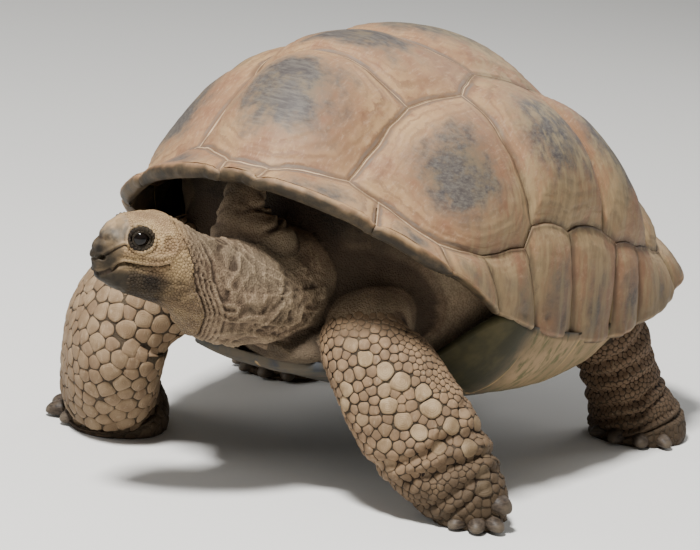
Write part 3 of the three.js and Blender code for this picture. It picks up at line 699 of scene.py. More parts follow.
def plastron_body():
    """Rings across the plate from throat to tail: along the lower face from side to side,
    and back along the upper one. The lower face rises from the keel to the edge as a power
    of the share of the way out."""
    table = stations(PLASTRON_STATIONS, np.linspace(0, 1, PLASTRON_ROWS))
    y, half, edge, keel, square = table.T[:, :, None]
    u = np.sin(np.linspace(-np.pi / 2, np.pi / 2, PLASTRON_COLUMNS))[None]
    lower = np.stack([half * u, y + 0 * u, keel + (edge - keel) * np.abs(u) ** square], -1)
    out = grid_out(lower, np.array([0, 0, 900.0]))
    m = lower[..., :2]
    x = m[..., 0] + 5 * hills(m, 60, 11)
    along = m[..., 1] + 6 * hills(m, 70, 12) + 0.05 * np.abs(m[..., 0])
    beyond_bridge = 1 - smooth(-215, -195, along) + smooth(250, 270, along)
    side = np.abs(np.abs(x) - BRIDGE_SEAM_X + 10 * hills(m, 50, 13)) + 900 * beyond_bridge
    from_seam = np.minimum(np.min([np.abs(along - s) for s in PLASTRON_SEAMS], axis=0), np.abs(x))
    from_seam = np.minimum(from_seam, side)
    lift = 1.5 * hills(lower, 60, 14) + 0.5 * hills(lower, 14, 15) - 3.0 * bell(from_seam, 7, 1.5)
    bottom = lower + out * (lift - 0.5)[..., None]
    top = (lower + [0, 0, PLASTRON_THICKNESS])[:, ::-1]
    tint = np.zeros((PLASTRON_ROWS, PLASTRON_COLUMNS * 2, 4))
    tint[..., 1] = 1
    tint[:, :PLASTRON_COLUMNS, 1] = np.clip(from_seam / SEAM_LAYER_UNIT, 0, 1)
    tint[:, :PLASTRON_COLUMNS, 3] = smooth(205, 290, np.abs(x)) * smooth(-150, -60, along)
    both_faces = np.concatenate([x, x[:, ::-1]], 1)
    tint[..., 2] = smooth(-90, -170, y) * smooth(150, 220, np.abs(both_faces))
    return np.concatenate([bottom, top], 1), tint, True


def belly_finish():
    """Horn of the belly: grey-olive, darker and bluer than the back, with rusty seams, dark
    wings behind the forelegs and tan bridges. Layers: nothing, distance from the seam, wing,
    bridge."""
    f = Finish("belly horn")
    _, seam, wing, bridge = f.layers("tint")
    wide = f.noise(f.place(), 9.0, 4.0, 0.6)
    patch = f.noise(f.place((1, 3, 1)), 30.0, 5.0, 0.65)
    colour = f.tones(wide, 0.4, 0.62, "3c3b36", "4f473b")
    colour = f.blend(f.step(patch, 0.45, 0.7), colour, rgb("35373a"))
    tan = f.tones(wide, 0.4, 0.6, "7d6a4e", "927a5c")
    tan = f.blend(f.step(patch, 0.45, 0.65), tan, rgb("5f5a3c"))
    colour = f.blend(bridge, colour, tan)
    dark = f.tones(wide, 0.4, 0.62, "2c2a18", "453e25")
    colour = f.blend(wing, colour, dark)
    near = f.less(1.0, f.step(f.plus(seam, f.times(patch, 0.1)), 0.08, 0.22))
    colour = f.over(colour, near, 0.7, "a88a5e")
    return f.finish(colour, 0.72, f.plus(patch, wide), 0.001, 0.5)


BELLY = belly_finish()
hang(make_mesh("belly_plate", *bodies([plastron_body()])), BELLY, "plastron_horn", "plastron")

# ---- Skin -----------------------------------------------------------------------------
# One loose hide covers the trunk, neck, head, tail and legs: dry, folded, and thick where
# the limbs bend. The scales are set on it afterwards, so it lies a little inside them.
COAT_DEPTH = 2.2
LIMBS = {
    # x, y, z, half width, half depth, squareness
    "front_left": [
        [118, -200, 310, 78, 76, 2.2], [138, -272, 298, 72, 62, 2.2], [148, -325, 284, 68, 58, 2.2],
        [167, -346, 250, 76, 62, 2.3], [204, -338, 206, 87, 64, 2.4], [240, -327, 156, 91, 62, 2.4],
        [282, -312, 106, 86, 62, 2.4], [318, -297, 62, 73, 60, 2.3], [344, -286, 28, 60, 56, 2.3],
        [366, -278, -6, 38, 40, 2.2]],
    "front_right": [
        [-118, -190, 332, 84, 80, 2.2], [-182, -250, 302, 92, 82, 2.2], [-250, -288, 260, 100, 79, 2.2],
        [-294, -300, 216, 112, 78, 2.3], [-312, -300, 176, 121, 80, 2.4], [-330, -280, 122, 117, 80, 2.4],
        [-347, -252, 76, 111, 79, 2.3], [-349, -232, 46, 106, 79, 2.3], [-347, -223, 22, 113, 88, 2.3],
        [-345, -219, 0, 108, 83, 2.3]],
    "rear_left": [
        [212, 190, 318, 78, 88, 2.2], [232, 250, 288, 74, 82, 2.2], [256, 306, 226, 68, 76, 2.2],
        [276, 346, 162, 64, 67, 2.2], [290, 368, 108, 62, 66, 2.2], [302, 384, 64, 66, 70, 2.3],
        [313, 394, 30, 75, 80, 2.3], [321, 398, 8, 79, 84, 2.3], [322, 398, 0, 74, 79, 2.3]],
    "rear_right": [
        [-210, 180, 318, 76, 88, 2.2], [-228, 220, 288, 72, 82, 2.2], [-250, 256, 226, 66, 76, 2.2],
        [-278, 262, 162, 64, 67, 2.2], [-292, 276, 108, 62, 66, 2.2], [-302, 286, 64, 66, 70, 2.3],
        [-310, 293, 30, 75, 80, 2.3], [-314, 296, 8, 79, 84, 2.3], [-314, 296, 0, 74, 79, 2.3]],
    "nape": [
        [-52, -362, 545, 46, 40, 2], [-50, -390, 500, 34, 34, 2], [-45, -404, 462, 34, 34, 2],
        [-40, -410, 436, 44, 40, 2], [-32, -412, 412, 62, 52, 2], [-20, -406, 384, 78, 62, 2],
        [-4, -396, 340, 80, 64, 2]],
    "bib": [
        [30, -290, 250, 130, 58, 2], [30, -350, 242, 108, 42, 2], [26, -388, 236, 80, 29, 2],
        [22, -410, 232, 46, 15, 2]],
    "tail": [
        [4, 352, 268, 66, 56, 2], [6, 400, 262, 56, 48, 2], [10, 446, 236, 44, 38, 2],
        [16, 480, 196, 32, 28, 2], [22, 500, 152, 20, 18, 2], [26, 508, 120, 8, 8, 2]],
    "neck": [
        [-50, -560, 362, 58, 72, 2.1], [-40, -528, 340, 67, 80, 2.1], [-24, -478, 329, 77, 83, 2.1],
        [-10, -424, 327, 87, 88, 2.1], [0, -360, 327, 96, 95, 2.1], [0, -280, 330, 100, 100, 2.1]],
}
LEVEL_ENDED = ("front_right", "rear_left", "rear_right")
LIMB_ROWS = 84
LIMB_COLUMNS = 84


def power_wave(angle, exponent):
    """Cosine and sine raised to a power with their sign kept: the section of a squarish tube."""
    c, s = np.cos(angle), np.sin(angle)
    return np.sign(c) * np.abs(c) ** exponent, np.sign(s) * np.abs(s) ** exponent


def limb_surface(name, rows=LIMB_ROWS, columns=LIMB_COLUMNS):
    """A limb as rings square to its path, each a squarish oval, and the way out of it. It
    lies inside the finished limb by the depth of the scales."""
    t = np.linspace(0, 1, rows)
    table = stations(LIMBS[name], t)
    tangent = unit(stations(LIMBS[name], t + 0.01)[:, :3] - stations(LIMBS[name], t - 0.01)[:, :3])
    if name in LEVEL_ENDED:
        tangent = unit(mix(tangent, np.array([0, 0, -1.0]), np.clip((t - 0.8) / 0.2, 0, 1)[:, None]))
    side = np.array([1.0, 0, 0])
    sides = []
    for way in tangent:
        side = unit(side - side.dot(way) * way)
        sides.append(side)
    sides = np.array(sides)
    deep = np.cross(tangent, sides)
    angle = np.linspace(0, 2 * np.pi, columns, endpoint=False)
    c, s = power_wave(angle[None], 2 / table[:, 5:6])
    c, s = c * (table[:, 3:4] - COAT_DEPTH), s * (table[:, 4:5] - COAT_DEPTH)
    surface = table[:, None, :3] + c[..., None] * sides[:, None] + s[..., None] * deep[:, None]
    around = np.roll(surface, -1, 1) - np.roll(surface, 1, 1)
    out = unit(np.cross(around, np.gradient(surface, axis=0)))
    if ((surface - table[:, None, :3]) * out).sum() < 0:
        out = -out
    return surface, out, t[:, None], angle[None]


# Folds of the limbs. Each is (share down the limb, bearing of its deepest point round the
# limb in degrees, slant down the limb per radian, depth, half width in shares of the limb).
FOLDS = {
    "front_left": [(0.24, 255, 0.0, 8, 0.022), (0.64, 100, -0.03, 7, 0.016),
                   (0.705, 85, -0.035, 7, 0.015), (0.60, 0, 0.03, 4, 0.012),
                   (0.775, 100, -0.02, 5, 0.014), (0.83, 110, 0.0, 4, 0.012)],
    "front_right": [(0.18, 90, 0.0, 5, 0.02), (0.70, 60, 0.03, 6, 0.016), (0.765, 90, 0.0, 12, 0.022),
                    (0.83, 90, 0.0, 6, 0.014), (0.9, 70, 0.02, 5, 0.012)],
    "rear_left": [(0.14 + 0.072 * k, 40 + 40 * (k % 3), 0.008 * (k % 2), 6.5, 0.015) for k in range(10)],
    "rear_right": [(0.14 + 0.072 * k, 140 - 40 * (k % 3), 0.008 * (k % 2), 6.5, 0.015) for k in range(10)],
    "tail": [(0.1 + 0.09 * k, 90, 0.0, 2.5, 0.02) for k in range(9)],
    "nape": [(0.34, 270, 0.05, 5, 0.03), (0.44, 250, -0.06, 6, 0.03), (0.54, 280, 0.08, 6, 0.028),
             (0.64, 260, -0.08, 7, 0.03), (0.72, 270, 0.1, 6, 0.026), (0.8, 270, -0.05, 5, 0.03)],
    "bib": [],
    "neck": [],
}


def limb_relief(name, surface, t, angle):
    """Height of a limb's hide: long shallow swells, the limb's own folds with a roll of
    skin on both sides, and fine crosswise wrinkles."""
    seed = 100 + len(name)
    height = 1.5 * hills(surface, 55, seed) + 0.5 * hills(surface * [1, 1, 1.8], 13, seed + 1)
    sway = 0.018 * hills(surface, 45, seed + 2) + 0.006 * hills(surface, 15, seed + 3)
    for at, bearing, slant, depth, half in FOLDS[name]:
        turn = (angle - np.radians(bearing) + np.pi) % (2 * np.pi) - np.pi
        away = (t - at - slant * turn + sway) / half
        strength = depth * bell(turn, 2.1, 3)
        height = height - strength * bell(away, 1) + 0.45 * strength * bell(np.abs(away) - 2, 1)
    return height


def skinned(name):
    """A limb's hide with its folds; what would pass below the floor lies flat on it."""
    surface, out, t, angle = limb_surface(name)
    surface = surface + out * limb_relief(name, surface, t, angle)[..., None]
    surface[..., 2] = np.maximum(surface[..., 2], 0.0)
    return surface


# The trunk lines the dome, leaves it some way in from the rim at the two openings, and
# comes down to the edge of the belly plate.
LEAVE_BEARINGS = [0, 35, 58, 76, 116, 138, 180]
LEAVE_RADIUS = [0.36, 0.44, 0.64, 0.86, 0.86, 0.74, 0.66]
SILL_BEARINGS = [0, 25, 44, 58, 71, 90, 112, 126, 142, 160, 180]
SILL_X = [0, 96, 138, 172, 270, 312, 312, 214, 140, 62, 0]
SILL_Y = [-352, -345, -306, -262, -190, 10, 190, 262, 330, 368, 376]
SILL_REACH = 0.96
SILL_TOP = 268
LINING_DEPTH = 27
LINING_ROWS = 16
WALL_ROWS = 25
FLOOR_SHARES = (0.9, 0.7, 0.45, 0.2)
TRUNK_COLUMNS = 144


def ridges(places, size, seed):
    """Sharp-crested folds from 0 to 1: one less the height of the hills above or below zero."""
    return 1 - np.abs(hills(places, size, seed))


def trunk_surface():
    """Rings round the trunk from crown to belly: under the dome to where the flesh leaves
    it, straight down to the sill, and in along the belly plate. The wall that shows at the
    openings is raised into slanted folds."""
    bearing = np.linspace(0, 360, TRUNK_COLUMNS, endpoint=False)
    leave = round_shell(bearing, LEAVE_BEARINGS, LEAVE_RADIUS)
    sign = np.where(bearing > 180, -1, 1)
    x = round_shell(bearing, SILL_BEARINGS, SILL_X) * sign * SILL_REACH
    y = round_shell(bearing, SILL_BEARINGS, SILL_Y)
    sill = np.stack([x, y, np.minimum(belly_height(x, y) + 4, SILL_TOP)], -1)
    lining = []
    for share in np.linspace(0.08, 1, LINING_ROWS):
        surface, out = dome_at(on_map(leave * share, bearing))
        lining.append(surface - out * LINING_DEPTH)
    wall = [mix(lining[-1], sill, share) for share in np.linspace(0, 1, WALL_ROWS + 1)[1:]]
    floor_rows = []
    for share in FLOOR_SHARES:
        inner = sill * [share, share, 1]
        inner[:, 2] = np.minimum(belly_height(inner[:, 0], inner[:, 1]) + 2, sill[:, 2])
        floor_rows.append(inner)
    surface = np.array(lining + wall + floor_rows)
    out = grid_out(surface, np.array([0, 0, 900.0]))
    outwards = unit(surface - [0, 0, 330.0])
    out = np.where((out * outwards).sum(-1, keepdims=True) < 0, -out, out)
    slanted = surface @ np.array([[1, 0, 0.15], [0, 1, 0.2], [0.35, 0.25, 0.22]])
    height = 3.0 * hills(slanted, 40, 201) + 7.0 * ridges(slanted, 30, 202) ** 2
    height = height + 2.5 * ridges(slanted, 13, 203) ** 2
    shown = np.zeros((len(surface), 1))
    shown[LINING_ROWS + 1:LINING_ROWS + 1 + WALL_ROWS] = 1
    return surface + out * (height * shown)[..., None]


# ---- Head and neck
# The head has a frame of its own: origin midway between the eyes, x forward, y to its
# left, z up, turned towards the animal's right and held nearly level.
HEAD_ORIGIN = np.array([-107.0, -629, 426])
HEAD_TURN = 40
HEAD_PITCH = -3
# x, top, bottom, half width, squareness: the cranium with the upper beak, and the jaw
SKULL = [
    [-84, 8, -92, 54, 2.2], [-66, 21, -90, 59, 2.3], [-44, 29, -84, 60, 2.4], [-20, 31, -76, 55, 2.4],
    [0, 29.5, -56, 48, 2.4], [20, 26, -48, 38, 2.3], [38, 17, -56, 28, 2.2], [50, 4, -63, 20, 2.2],
    [58, -12, -63, 14, 2.1], [62, -22, -54, 9, 2],
]
JAW = [
    [-80, -30, -134, 50, 2.2], [-58, -34, -120, 53, 2.3], [-34, -38, -108, 50, 2.3],
    [-10, -30, -99, 45, 2.3], [14, -27, -91, 37, 2.3], [32, -33, -82, 28, 2.2], [44, -44, -72, 20, 2.1],
    [56, -52, -62, 12, 2],
]
SNOUT_X = 63
HEAD_BACK_X = -66
HEAD_COLUMNS = 208
HEAD_ROWS = 128
# The neck is drawn in fine rows from its root, and ends at this one, short of the head.
NECK_FINE_ROWS = 200
NECK_LAST_ROW = 170
NECK_ROWS = 118
EYE_RADIUS = 14.4
EYE_PLACE = np.array([0.0, 37.0, 1.5])
turn = np.radians(-90 - HEAD_TURN)
pitch = np.radians(-HEAD_PITCH)
turned = np.array([[np.cos(turn), -np.sin(turn), 0], [np.sin(turn), np.cos(turn), 0], [0, 0, 1]])
pitched = np.array([[np.cos(pitch), 0, np.sin(pitch)], [0, 1, 0], [-np.sin(pitch), 0, np.cos(pitch)]])
HEAD_AXES = turned @ pitched


def from_head(points):
    """Head places in the shell's frame."""
    return points @ HEAD_AXES.T + HEAD_ORIGIN


def to_head(points):
    """Places in the shell's frame as head places."""
    return (points - HEAD_ORIGIN) @ HEAD_AXES


def at_x(table, x):
    """The rows of a head table at each x: a smooth cubic through them."""
    table = np.asarray(table, float)
    share = np.interp(x, table[:, 0], np.arange(len(table)) / (len(table) - 1))
    return stations(table, share)


def oval_reach(table, x, angle, axis_z):
    """How far a ray goes from the head's axis, at this angle, before it leaves the squarish
    oval of the table: found by halving."""
    _, top, bottom, half, n = (v[:, None] for v in at_x(table, x).T)
    middle, tall = (top + bottom) / 2, (top - bottom) / 2
    low = np.zeros((len(x), len(angle)))
    high = low + 200
    for _ in range(26):
        r = (low + high) / 2
        y, z = r * np.cos(angle), r * np.sin(angle) + axis_z[:, None] - middle
        inside = (np.abs(y) / half) ** n + (np.abs(z) / tall) ** n < 1
        low, high = np.where(inside, r, low), np.where(inside, high, r)
    return low


def head_rings(x, angle):
    """The head's bare form at each x: the outer line of cranium and jaw together, drawn in
    to nothing over the last few millimetres of the snout."""
    axis_z = np.interp(x, [-84, -30, 20, 60], [-46, -40, -34, -34])
    skull = oval_reach(SKULL, x, angle, axis_z)
    jaw = oval_reach(JAW, np.minimum(x, 56), angle, axis_z)
    jaw = jaw * np.sqrt(np.clip((59 - x) / 8, 0, 1))[:, None]
    reach = np.maximum(skull, jaw) + 4.2 * bell(skull - jaw, 9)
    reach = reach * np.sqrt(np.clip(1 - (np.clip(x - 54, 0, 9) / 9.05) ** 2, 0, 1))[:, None]
    z = reach * np.sin(angle) + axis_z[:, None]
    return np.stack([x[:, None] + 0 * reach, reach * np.cos(angle), z], -1)


def above_curve(p, curve):
    """How far each place is above a line of (x, z) points in the head's side view: the
    height over the line times the cosine of the line's slope."""
    x, z = p[..., 0], p[..., 2]
    curve = np.array(curve, float)
    line = np.interp(x, curve[:, 0], curve[:, 1])
    run = np.gradient(x, axis=0)
    slope = np.gradient(line, axis=0) / np.where(np.abs(run) < 1e-6, 1e-6, run)
    return (z - line) / np.sqrt(1 + np.clip(slope, -3, 3) ** 2)


# Lines on the side of the head, as (x, z).
MOUTH = [
    (-60, -31), (-44, -35), (-24, -39.5), (-7, -40), (10, -38), (21, -36.5), (30, -40), (38, -49),
    (47, -54.5), (63, -58),
]
MOUTH_CORNER = -44
BROW = [(-30, 14), (8, 10), (12, -2), (17, -9), (25, -7.5), (36, -15), (47, -24), (55, -30), (63, -34)]
# Folds behind the jaw: (how far ahead of the deepest one, depth, width).
COLLAR_FOLDS = [
    (0, 7.0, 2.6), (-7, 5.0, 2.1), (-14, 4.2, 2.1), (-22, 3.2, 2.3), (-32, 2.6, 2.6), (6, 1.8, 1.6),
]


def horny_share(p):
    """How far the head is smooth horn rather than pebbled skin: the shield from the nose up
    between the eyes, and both halves of the beak."""
    x, y, z = p[..., 0], np.abs(p[..., 1]), p[..., 2]
    shield = 0.55 * smooth(-8, 26, x - 0.012 * y**2 + 8 * hills(p, 12, 403)) * smooth(13, 26, z + 0.1 * x)
    beak = smooth(22, 36, x + 0.25 * (z + 40)) + smooth(8, 24, x) * smooth(-28, -38, z)
    return np.clip(shield + beak + 0.25 * hills(p, 7, 402) * smooth(-12, 0, x), 0, 1)


def from_collar(p):
    """How far each place is ahead of the deep fold that parts the jaw from the neck."""
    return p[..., 0] - np.interp(p[..., 2], [-120, -80, -39, -13, 11, 34], [-106, -89, -82, -73, -61, -58])


def from_nostril(p):
    """Distance of a place from the nearer nostril, a low slanted oval."""
    x, y, z = p[..., 0], np.abs(p[..., 1]), p[..., 2]
    return np.sqrt(((x - 52) / 1.2) ** 2 + ((y - 17) / 3) ** 2 + (z + 31) ** 2)


def spot(a, b, width_a, width_b):
    """A bump one high over an oval: e to the minus (a / its width)^2 + (b / its width)^2."""
    return np.exp(-(a / width_a) ** 2 - (b / width_b) ** 2)


def face(p):
    """Relief of the head by place: the closed mouth with its overhanging upper beak, the
    ridge from the nose back under the brow, nostrils, eye sockets, ear drums, the folds of
    the cheek and throat, and pebbled skin over all but the beak."""
    x, y, z = p[..., 0], np.abs(p[..., 1]), p[..., 2]
    side = smooth(18, 30, y)
    # the line of the mouth, its lips and the groove over the jaw
    above = above_curve(p, MOUTH)
    gape = smooth(MOUTH_CORNER - 3, MOUTH_CORNER + 5, x)
    height = -gape * 4.2 * bell(above + 0.8, 1.4)
    height = height + gape * (2.0 * bell(above - 3.0, 2.4) - 1.6 * bell(above + 5, 5))
    height = height + 1.5 * smooth(4, 14, x) * bell(above + 7, 3.5)
    height = height - 1.3 * gape * smooth(40, 20, x) * bell(above - 9.5, 2.6)
    # the ridge from the nose back under the brow, the brow, and the dip in front of it
    ridge = above_curve(p, BROW)
    fore = smooth(9, 15, x)
    height = height + fore * (2.2 * bell(ridge - 1.8, 2.6) - 2.2 * bell(ridge + 1.8, 1.6))
    brow = spot(x + 1, z - 17, 19, 6) * smooth(18, 32, y)
    height = height + 3.0 * brow
    dip = spot(x - 30, z - 12, 8, 8) * smooth(8, 20, y)
    height = height - 1.6 * dip
    # a notch and a swelling across the snout, and the nostrils
    height = height - 2.6 * bell(z + 3, 4.5) * smooth(40, 50, x)
    height = height + 1.6 * bell(z + 17, 7) * smooth(40, 52, x)
    gap = from_nostril(p)
    height = height - 5.5 * bell(gap, 3.6) + 1.3 * bell(gap - 5.6, 1.8)
    # the socket with its ring, and the bag under the eye
    from_eye = np.hypot(x - EYE_PLACE[0], z - EYE_PLACE[2])
    height = height - side * 8.0 * bell(from_eye, 15.5, 6)
    height = height + side * 1.8 * bell(from_eye - 19.5, 2.0)
    height = height - side * 1.4 * bell(from_eye - 24, 2)
    bag = z + 21 - 0.12 * x
    height = height + side * 1.8 * spot(bag, x + 6, 3, 16)
    # the ear drum, the cheek and the folds of the throat
    drum = np.hypot(x + 41, (z + 6) / 1.3)
    height = height - side * 2.4 * bell(drum, 9, 4) + side * 1.6 * bell(drum - 12, 3)
    cheek = spot(x + 30, z + 27, 16, 7) * side
    height = height + 3.0 * cheek
    throat = smooth(-50, -72, z) * smooth(34, 6, x)
    height = height - throat * 1.5 * ridges(np.stack([x * 0.45, y * 0.7, z], -1), 9, 301)
    # the grain of skin and of horn
    horny = horny_share(p)
    height = height + (1 - horny) * (0.35 * hills(p, 3.6, 302) + 0.8 * hills(p, 8, 303))
    height = height + (0.6 * hills(p * [1, 1, 0.4], 6, 304) + 0.35 * hills(p, 2.6, 306)) * horny
    return height + 1.0 * hills(p, 24, 305)


def head_and_neck():
    """Rings from the neck's root to the snout, and their bare places in the head's frame.
    The neck's ovals and the head's sections are laid on one set of bearings, and a stretch
    on both sides of the join is redrawn as one cubic down each bearing. The neck's height
    is sharp-crested folds, slanted, sagging and crossing, less a groove at each fold of the
    collar; the head's height is that of its face."""
    angle = np.linspace(0, 2 * np.pi, HEAD_COLUMNS, endpoint=False)
    surface, _, _, _ = limb_surface("neck", NECK_FINE_ROWS, HEAD_COLUMNS)
    neck = surface[::-1][:, (-np.arange(HEAD_COLUMNS)) % HEAD_COLUMNS]
    neck = neck[(np.linspace(0, 1, NECK_ROWS) * NECK_LAST_ROW).round().astype(int)]
    x = SNOUT_X - (SNOUT_X - HEAD_BACK_X) * (1 - np.linspace(0, 1, HEAD_ROWS)) ** 1.12
    head = head_rings(x, angle)
    bare = np.concatenate([neck, from_head(head)])
    a, b = NECK_ROWS - 16, NECK_ROWS + 10
    u = np.linspace(0, 1, b - a + 1)[:, None, None]
    reach = np.linalg.norm(bare[b] - bare[a], axis=-1, keepdims=True)
    leave, arrive = unit(bare[a] - bare[a - 3]) * reach, unit(bare[b + 3] - bare[b]) * reach
    bare[a:b + 1] = ((2 * u**3 - 3 * u**2 + 1) * bare[a] + (u**3 - 2 * u**2 + u) * leave
                     + (-2 * u**3 + 3 * u**2) * bare[b] + (u**3 - u**2) * arrive)
    around = np.roll(bare, -1, 1) - np.roll(bare, 1, 1)
    out = unit(np.cross(around, np.gradient(bare, axis=0)))
    if ((bare - bare.mean(1, keepdims=True)) * out).sum() < 0:
        out = -out
    p = to_head(bare)
    collar = from_collar(p)
    on_head = smooth(-7, 3, collar)
    relief = face(p)
    steps = np.diff(bare.mean(1), axis=0, prepend=bare[:1].mean(1))
    length = np.cumsum(np.linalg.norm(steps, axis=-1))[:, None]
    flat = np.stack([length + 0 * angle[None], angle[None] * 80 + 0 * length], -1)
    side = np.clip(1 - 0.55 * smooth(0.3, 0.95, np.sin(angle)), 0, 1)[None]
    below = smooth(0.35, -0.6, np.sin(angle))[None]
    slack = smooth(5, -60, collar)
    bent = flat + 9 * np.stack([hills(flat, 32, 316), hills(flat, 32, 317)], -1)
    slant = np.stack([bent[..., 0] + 0.35 * bent[..., 1], bent[..., 1] * 0.16], -1)
    loose = 3.0 * ridges(slant, 22, 310) ** 5 + 1.8 * ridges(slant * [1, 1.6], 10, 311) ** 4
    sag = 5.5 * below * ridges(np.stack([bent[..., 0] * 0.3, bent[..., 1]], -1), 15, 312) ** 4
    cross = np.stack([bent[..., 0] - 0.8 * bent[..., 1], 0.2 * bent[..., 1]], -1)
    fine = 1.8 * ridges(cross, 12, 313) ** 6 + 0.5 * ridges(flat * [1, 0.5], 5.5, 314)
    neck_height = loose * slack + sag * smooth(-12, -38, collar) + fine - 2.2 * slack - 1.2
    drift = 2.5 * hills(flat, 26, 315)
    for at, depth, wide in COLLAR_FOLDS:
        groove = depth * bell(collar - at + drift, wide)
        neck_height = neck_height - groove * side
        relief = relief - groove * side * (at >= 0)
    height = mix(neck_height, relief, on_head)
    return bare + out * height[..., None], p


head_surface, head_place = head_and_neck()

HIDE_PARTS = ["head", "trunk", *(name for name in LIMBS if name != "neck")]
# How many times over the joins are evened out, how many edges that reaches out from them,
# and how many edges wide the surroundings are that a fold's depth is taken from.
JOIN_ROUNDS = 45
JOIN_SPREAD = 9
HOLLOW_ROUNDS = 12


def join_bodies(parts):
    """One closed hide from several overlapping bodies: each is an object of its own, and
    they are united, keeping on every point the number of the body that it came from and
    the share of the way along it."""
    union = None
    for number, rings in enumerate(parts):
        points, quads, tris = ring_body(rings)
        quads, tris = facing_out(points - points.mean(0), quads, tris)
        tint = np.zeros((len(points), 4))
        tint[:, 3] = number
        shares = np.repeat(np.linspace(0, 1, len(rings)), rings.shape[1])
        tint[: len(shares), 0] = shares
        part = make_mesh(f"hide_{number}", points, quads, tris, tint)
        if union is None:
            union = part
            continue
        cut = union.modifiers.new("join", "BOOLEAN")
        cut.operation = "UNION"
        cut.solver = "MANIFOLD"
        cut.object = part
        with bpy.context.temp_override(object=union, active_object=union, selected_objects=[union]):
            bpy.ops.object.modifier_apply(modifier=cut.name)
        bpy.data.objects.remove(part)
    return union


def rows_of(items, key, width, kind=float):
    """A property of every item of a mesh, as the rows of an array."""
    values = np.empty(len(items) * width, kind)
    items.foreach_get(key, values)
    return values.reshape(-1, width)


def neighbours_mean(points, a, b):
    """The mean of each point's neighbours, along the edges from a to b."""
    count = len(points)
    degree = np.maximum(np.bincount(a, minlength=count) + np.bincount(b, minlength=count), 1)
    total = np.stack([np.bincount(a, points[b, k], count) + np.bincount(b, points[a, k], count)
                      for k in range(3)], 1)
    return total / degree[:, None]


def soften_joins(mesh):
    """Evens out the hide where two bodies met: points near a change of body number move
    towards the mean of their neighbours, again and again."""
    co = rows_of(mesh.vertices, "co", 3)
    number = rows_of(mesh.color_attributes["tint"].data, "color", 4)[:, 3]
    a, b = rows_of(mesh.edges, "vertices", 2, int).T
    near = np.zeros(len(co))
    met = np.abs(number[a] - number[b]) > 0.01
    near[a[met]] = near[b[met]] = 1
    for _ in range(JOIN_SPREAD):
        grown = near.copy()
        np.maximum.at(grown, a, near[b] - 1 / JOIN_SPREAD)
        np.maximum.at(grown, b, near[a] - 1 / JOIN_SPREAD)
        near = grown
    for _ in range(JOIN_ROUNDS):
        co = mix(co, neighbours_mean(co, a, b), 0.5 * near[:, None])
    mesh.vertices.foreach_set("co", co.astype(np.float32).ravel())
    mesh.update()


def eyelid(side, upper, outer):
    """A lid as a closed roll of skin over the eyeball, from corner to corner: the inner one
    is its thin margin, the outer one a thicker beaded fold round that."""
    along = np.linspace(0, 1, 57)[:, None]
    around = np.linspace(0, 2 * np.pi, 18, endpoint=False)[None]
    sweep = np.pi * along * (1 if upper else -1)
    reach = np.array([17.6, 15.8] if outer else [13.0, 11.6])
    x, z = reach[0] * np.cos(sweep), reach[1] * np.sin(sweep)
    middle = np.stack([x, 8.4 - (0.3 if outer else 0.14) * x, z], -1)
    radial = unit(middle * [1, 0, 1])
    taper = np.sin(np.pi * np.clip(along, 0.05, 0.95)) ** 0.3
    bead = 1 + (0.2 * np.sin(along * 62) if outer else 0)
    wide, thick = (3.9 if outer else 2.5) * taper * bead, (3.4 if outer else 2.3) * taper * bead
    ring = middle + radial * (wide * np.cos(around))[..., None]
    ring = ring + [0, 1, 0] * (thick * np.sin(around))[..., None]
    ring = ring + EYE_PLACE
    ring[..., 1] *= side
    return ring


def finish_hide(union):
    """Softens the united hide, keeps it above the floor, and gives it its colour layer: horny
    share, depth of the fold, darkness, and nearness to the head. The depth of a fold is how
    far the point lies under the mean of its wider surroundings."""
    mesh = union.data
    soften_joins(mesh)
    co = rows_of(mesh.vertices, "co", 3) / MM - SHELL_CENTRE
    co[:, 2] = np.maximum(co[:, 2], 0)
    mesh.vertices.foreach_set("co", ((co + SHELL_CENTRE) * MM).astype(np.float32).ravel())
    layer = rows_of(mesh.color_attributes["tint"].data, "color", 4)
    share, body = layer[:, 0], layer[:, 3]
    part = {name: np.abs(body - number) < 0.1 for number, name in enumerate(HIDE_PARTS)}
    # dark hide between the scales, from the share of the limb where they begin
    bedded = np.select([part["front_left"], part["front_right"], part["rear_left"] | part["rear_right"]],
                       [smooth(0.27, 0.33, share), smooth(0.14, 0.2, share), smooth(0.2, 0.26, share)], 0)
    # and painted shade under the rim, over the nape and on the bib under the throat
    under_rim = 0.95 * smooth(-150, -230, co[:, 1]) * smooth(350, 430, co[:, 2]) * part["trunk"]
    under_rim = np.maximum(under_rim, 0.75 * smooth(430, 500, co[:, 2]) * part["nape"])
    under_rim = np.maximum(under_rim, np.select([part["nape"], part["bib"]], [0.3, 0.7], 0))
    normal = rows_of(mesh.vertices, "normal", 3)
    a, b = rows_of(mesh.edges, "vertices", 2, int).T
    level = co.copy()
    for _ in range(HOLLOW_ROUNDS):
        level = neighbours_mean(level, a, b)
    hollow = ((level - co) * normal).sum(1)
    p = to_head(co)
    near_head = smooth(-84, -60, p[:, 0]) * smooth(150, 120, np.linalg.norm(p + [10, 0, 40], axis=1))
    shield = horny_share(p) * near_head
    dark = np.maximum.reduce([face_shade(p) * near_head, bedded * 0.85, under_rim])
    tint = np.stack([shield, np.clip(0.5 + hollow / 3, 0, 1), dark, near_head], 1)
    mesh.color_attributes["tint"].data.foreach_set("color", tint.astype(np.float32).ravel())


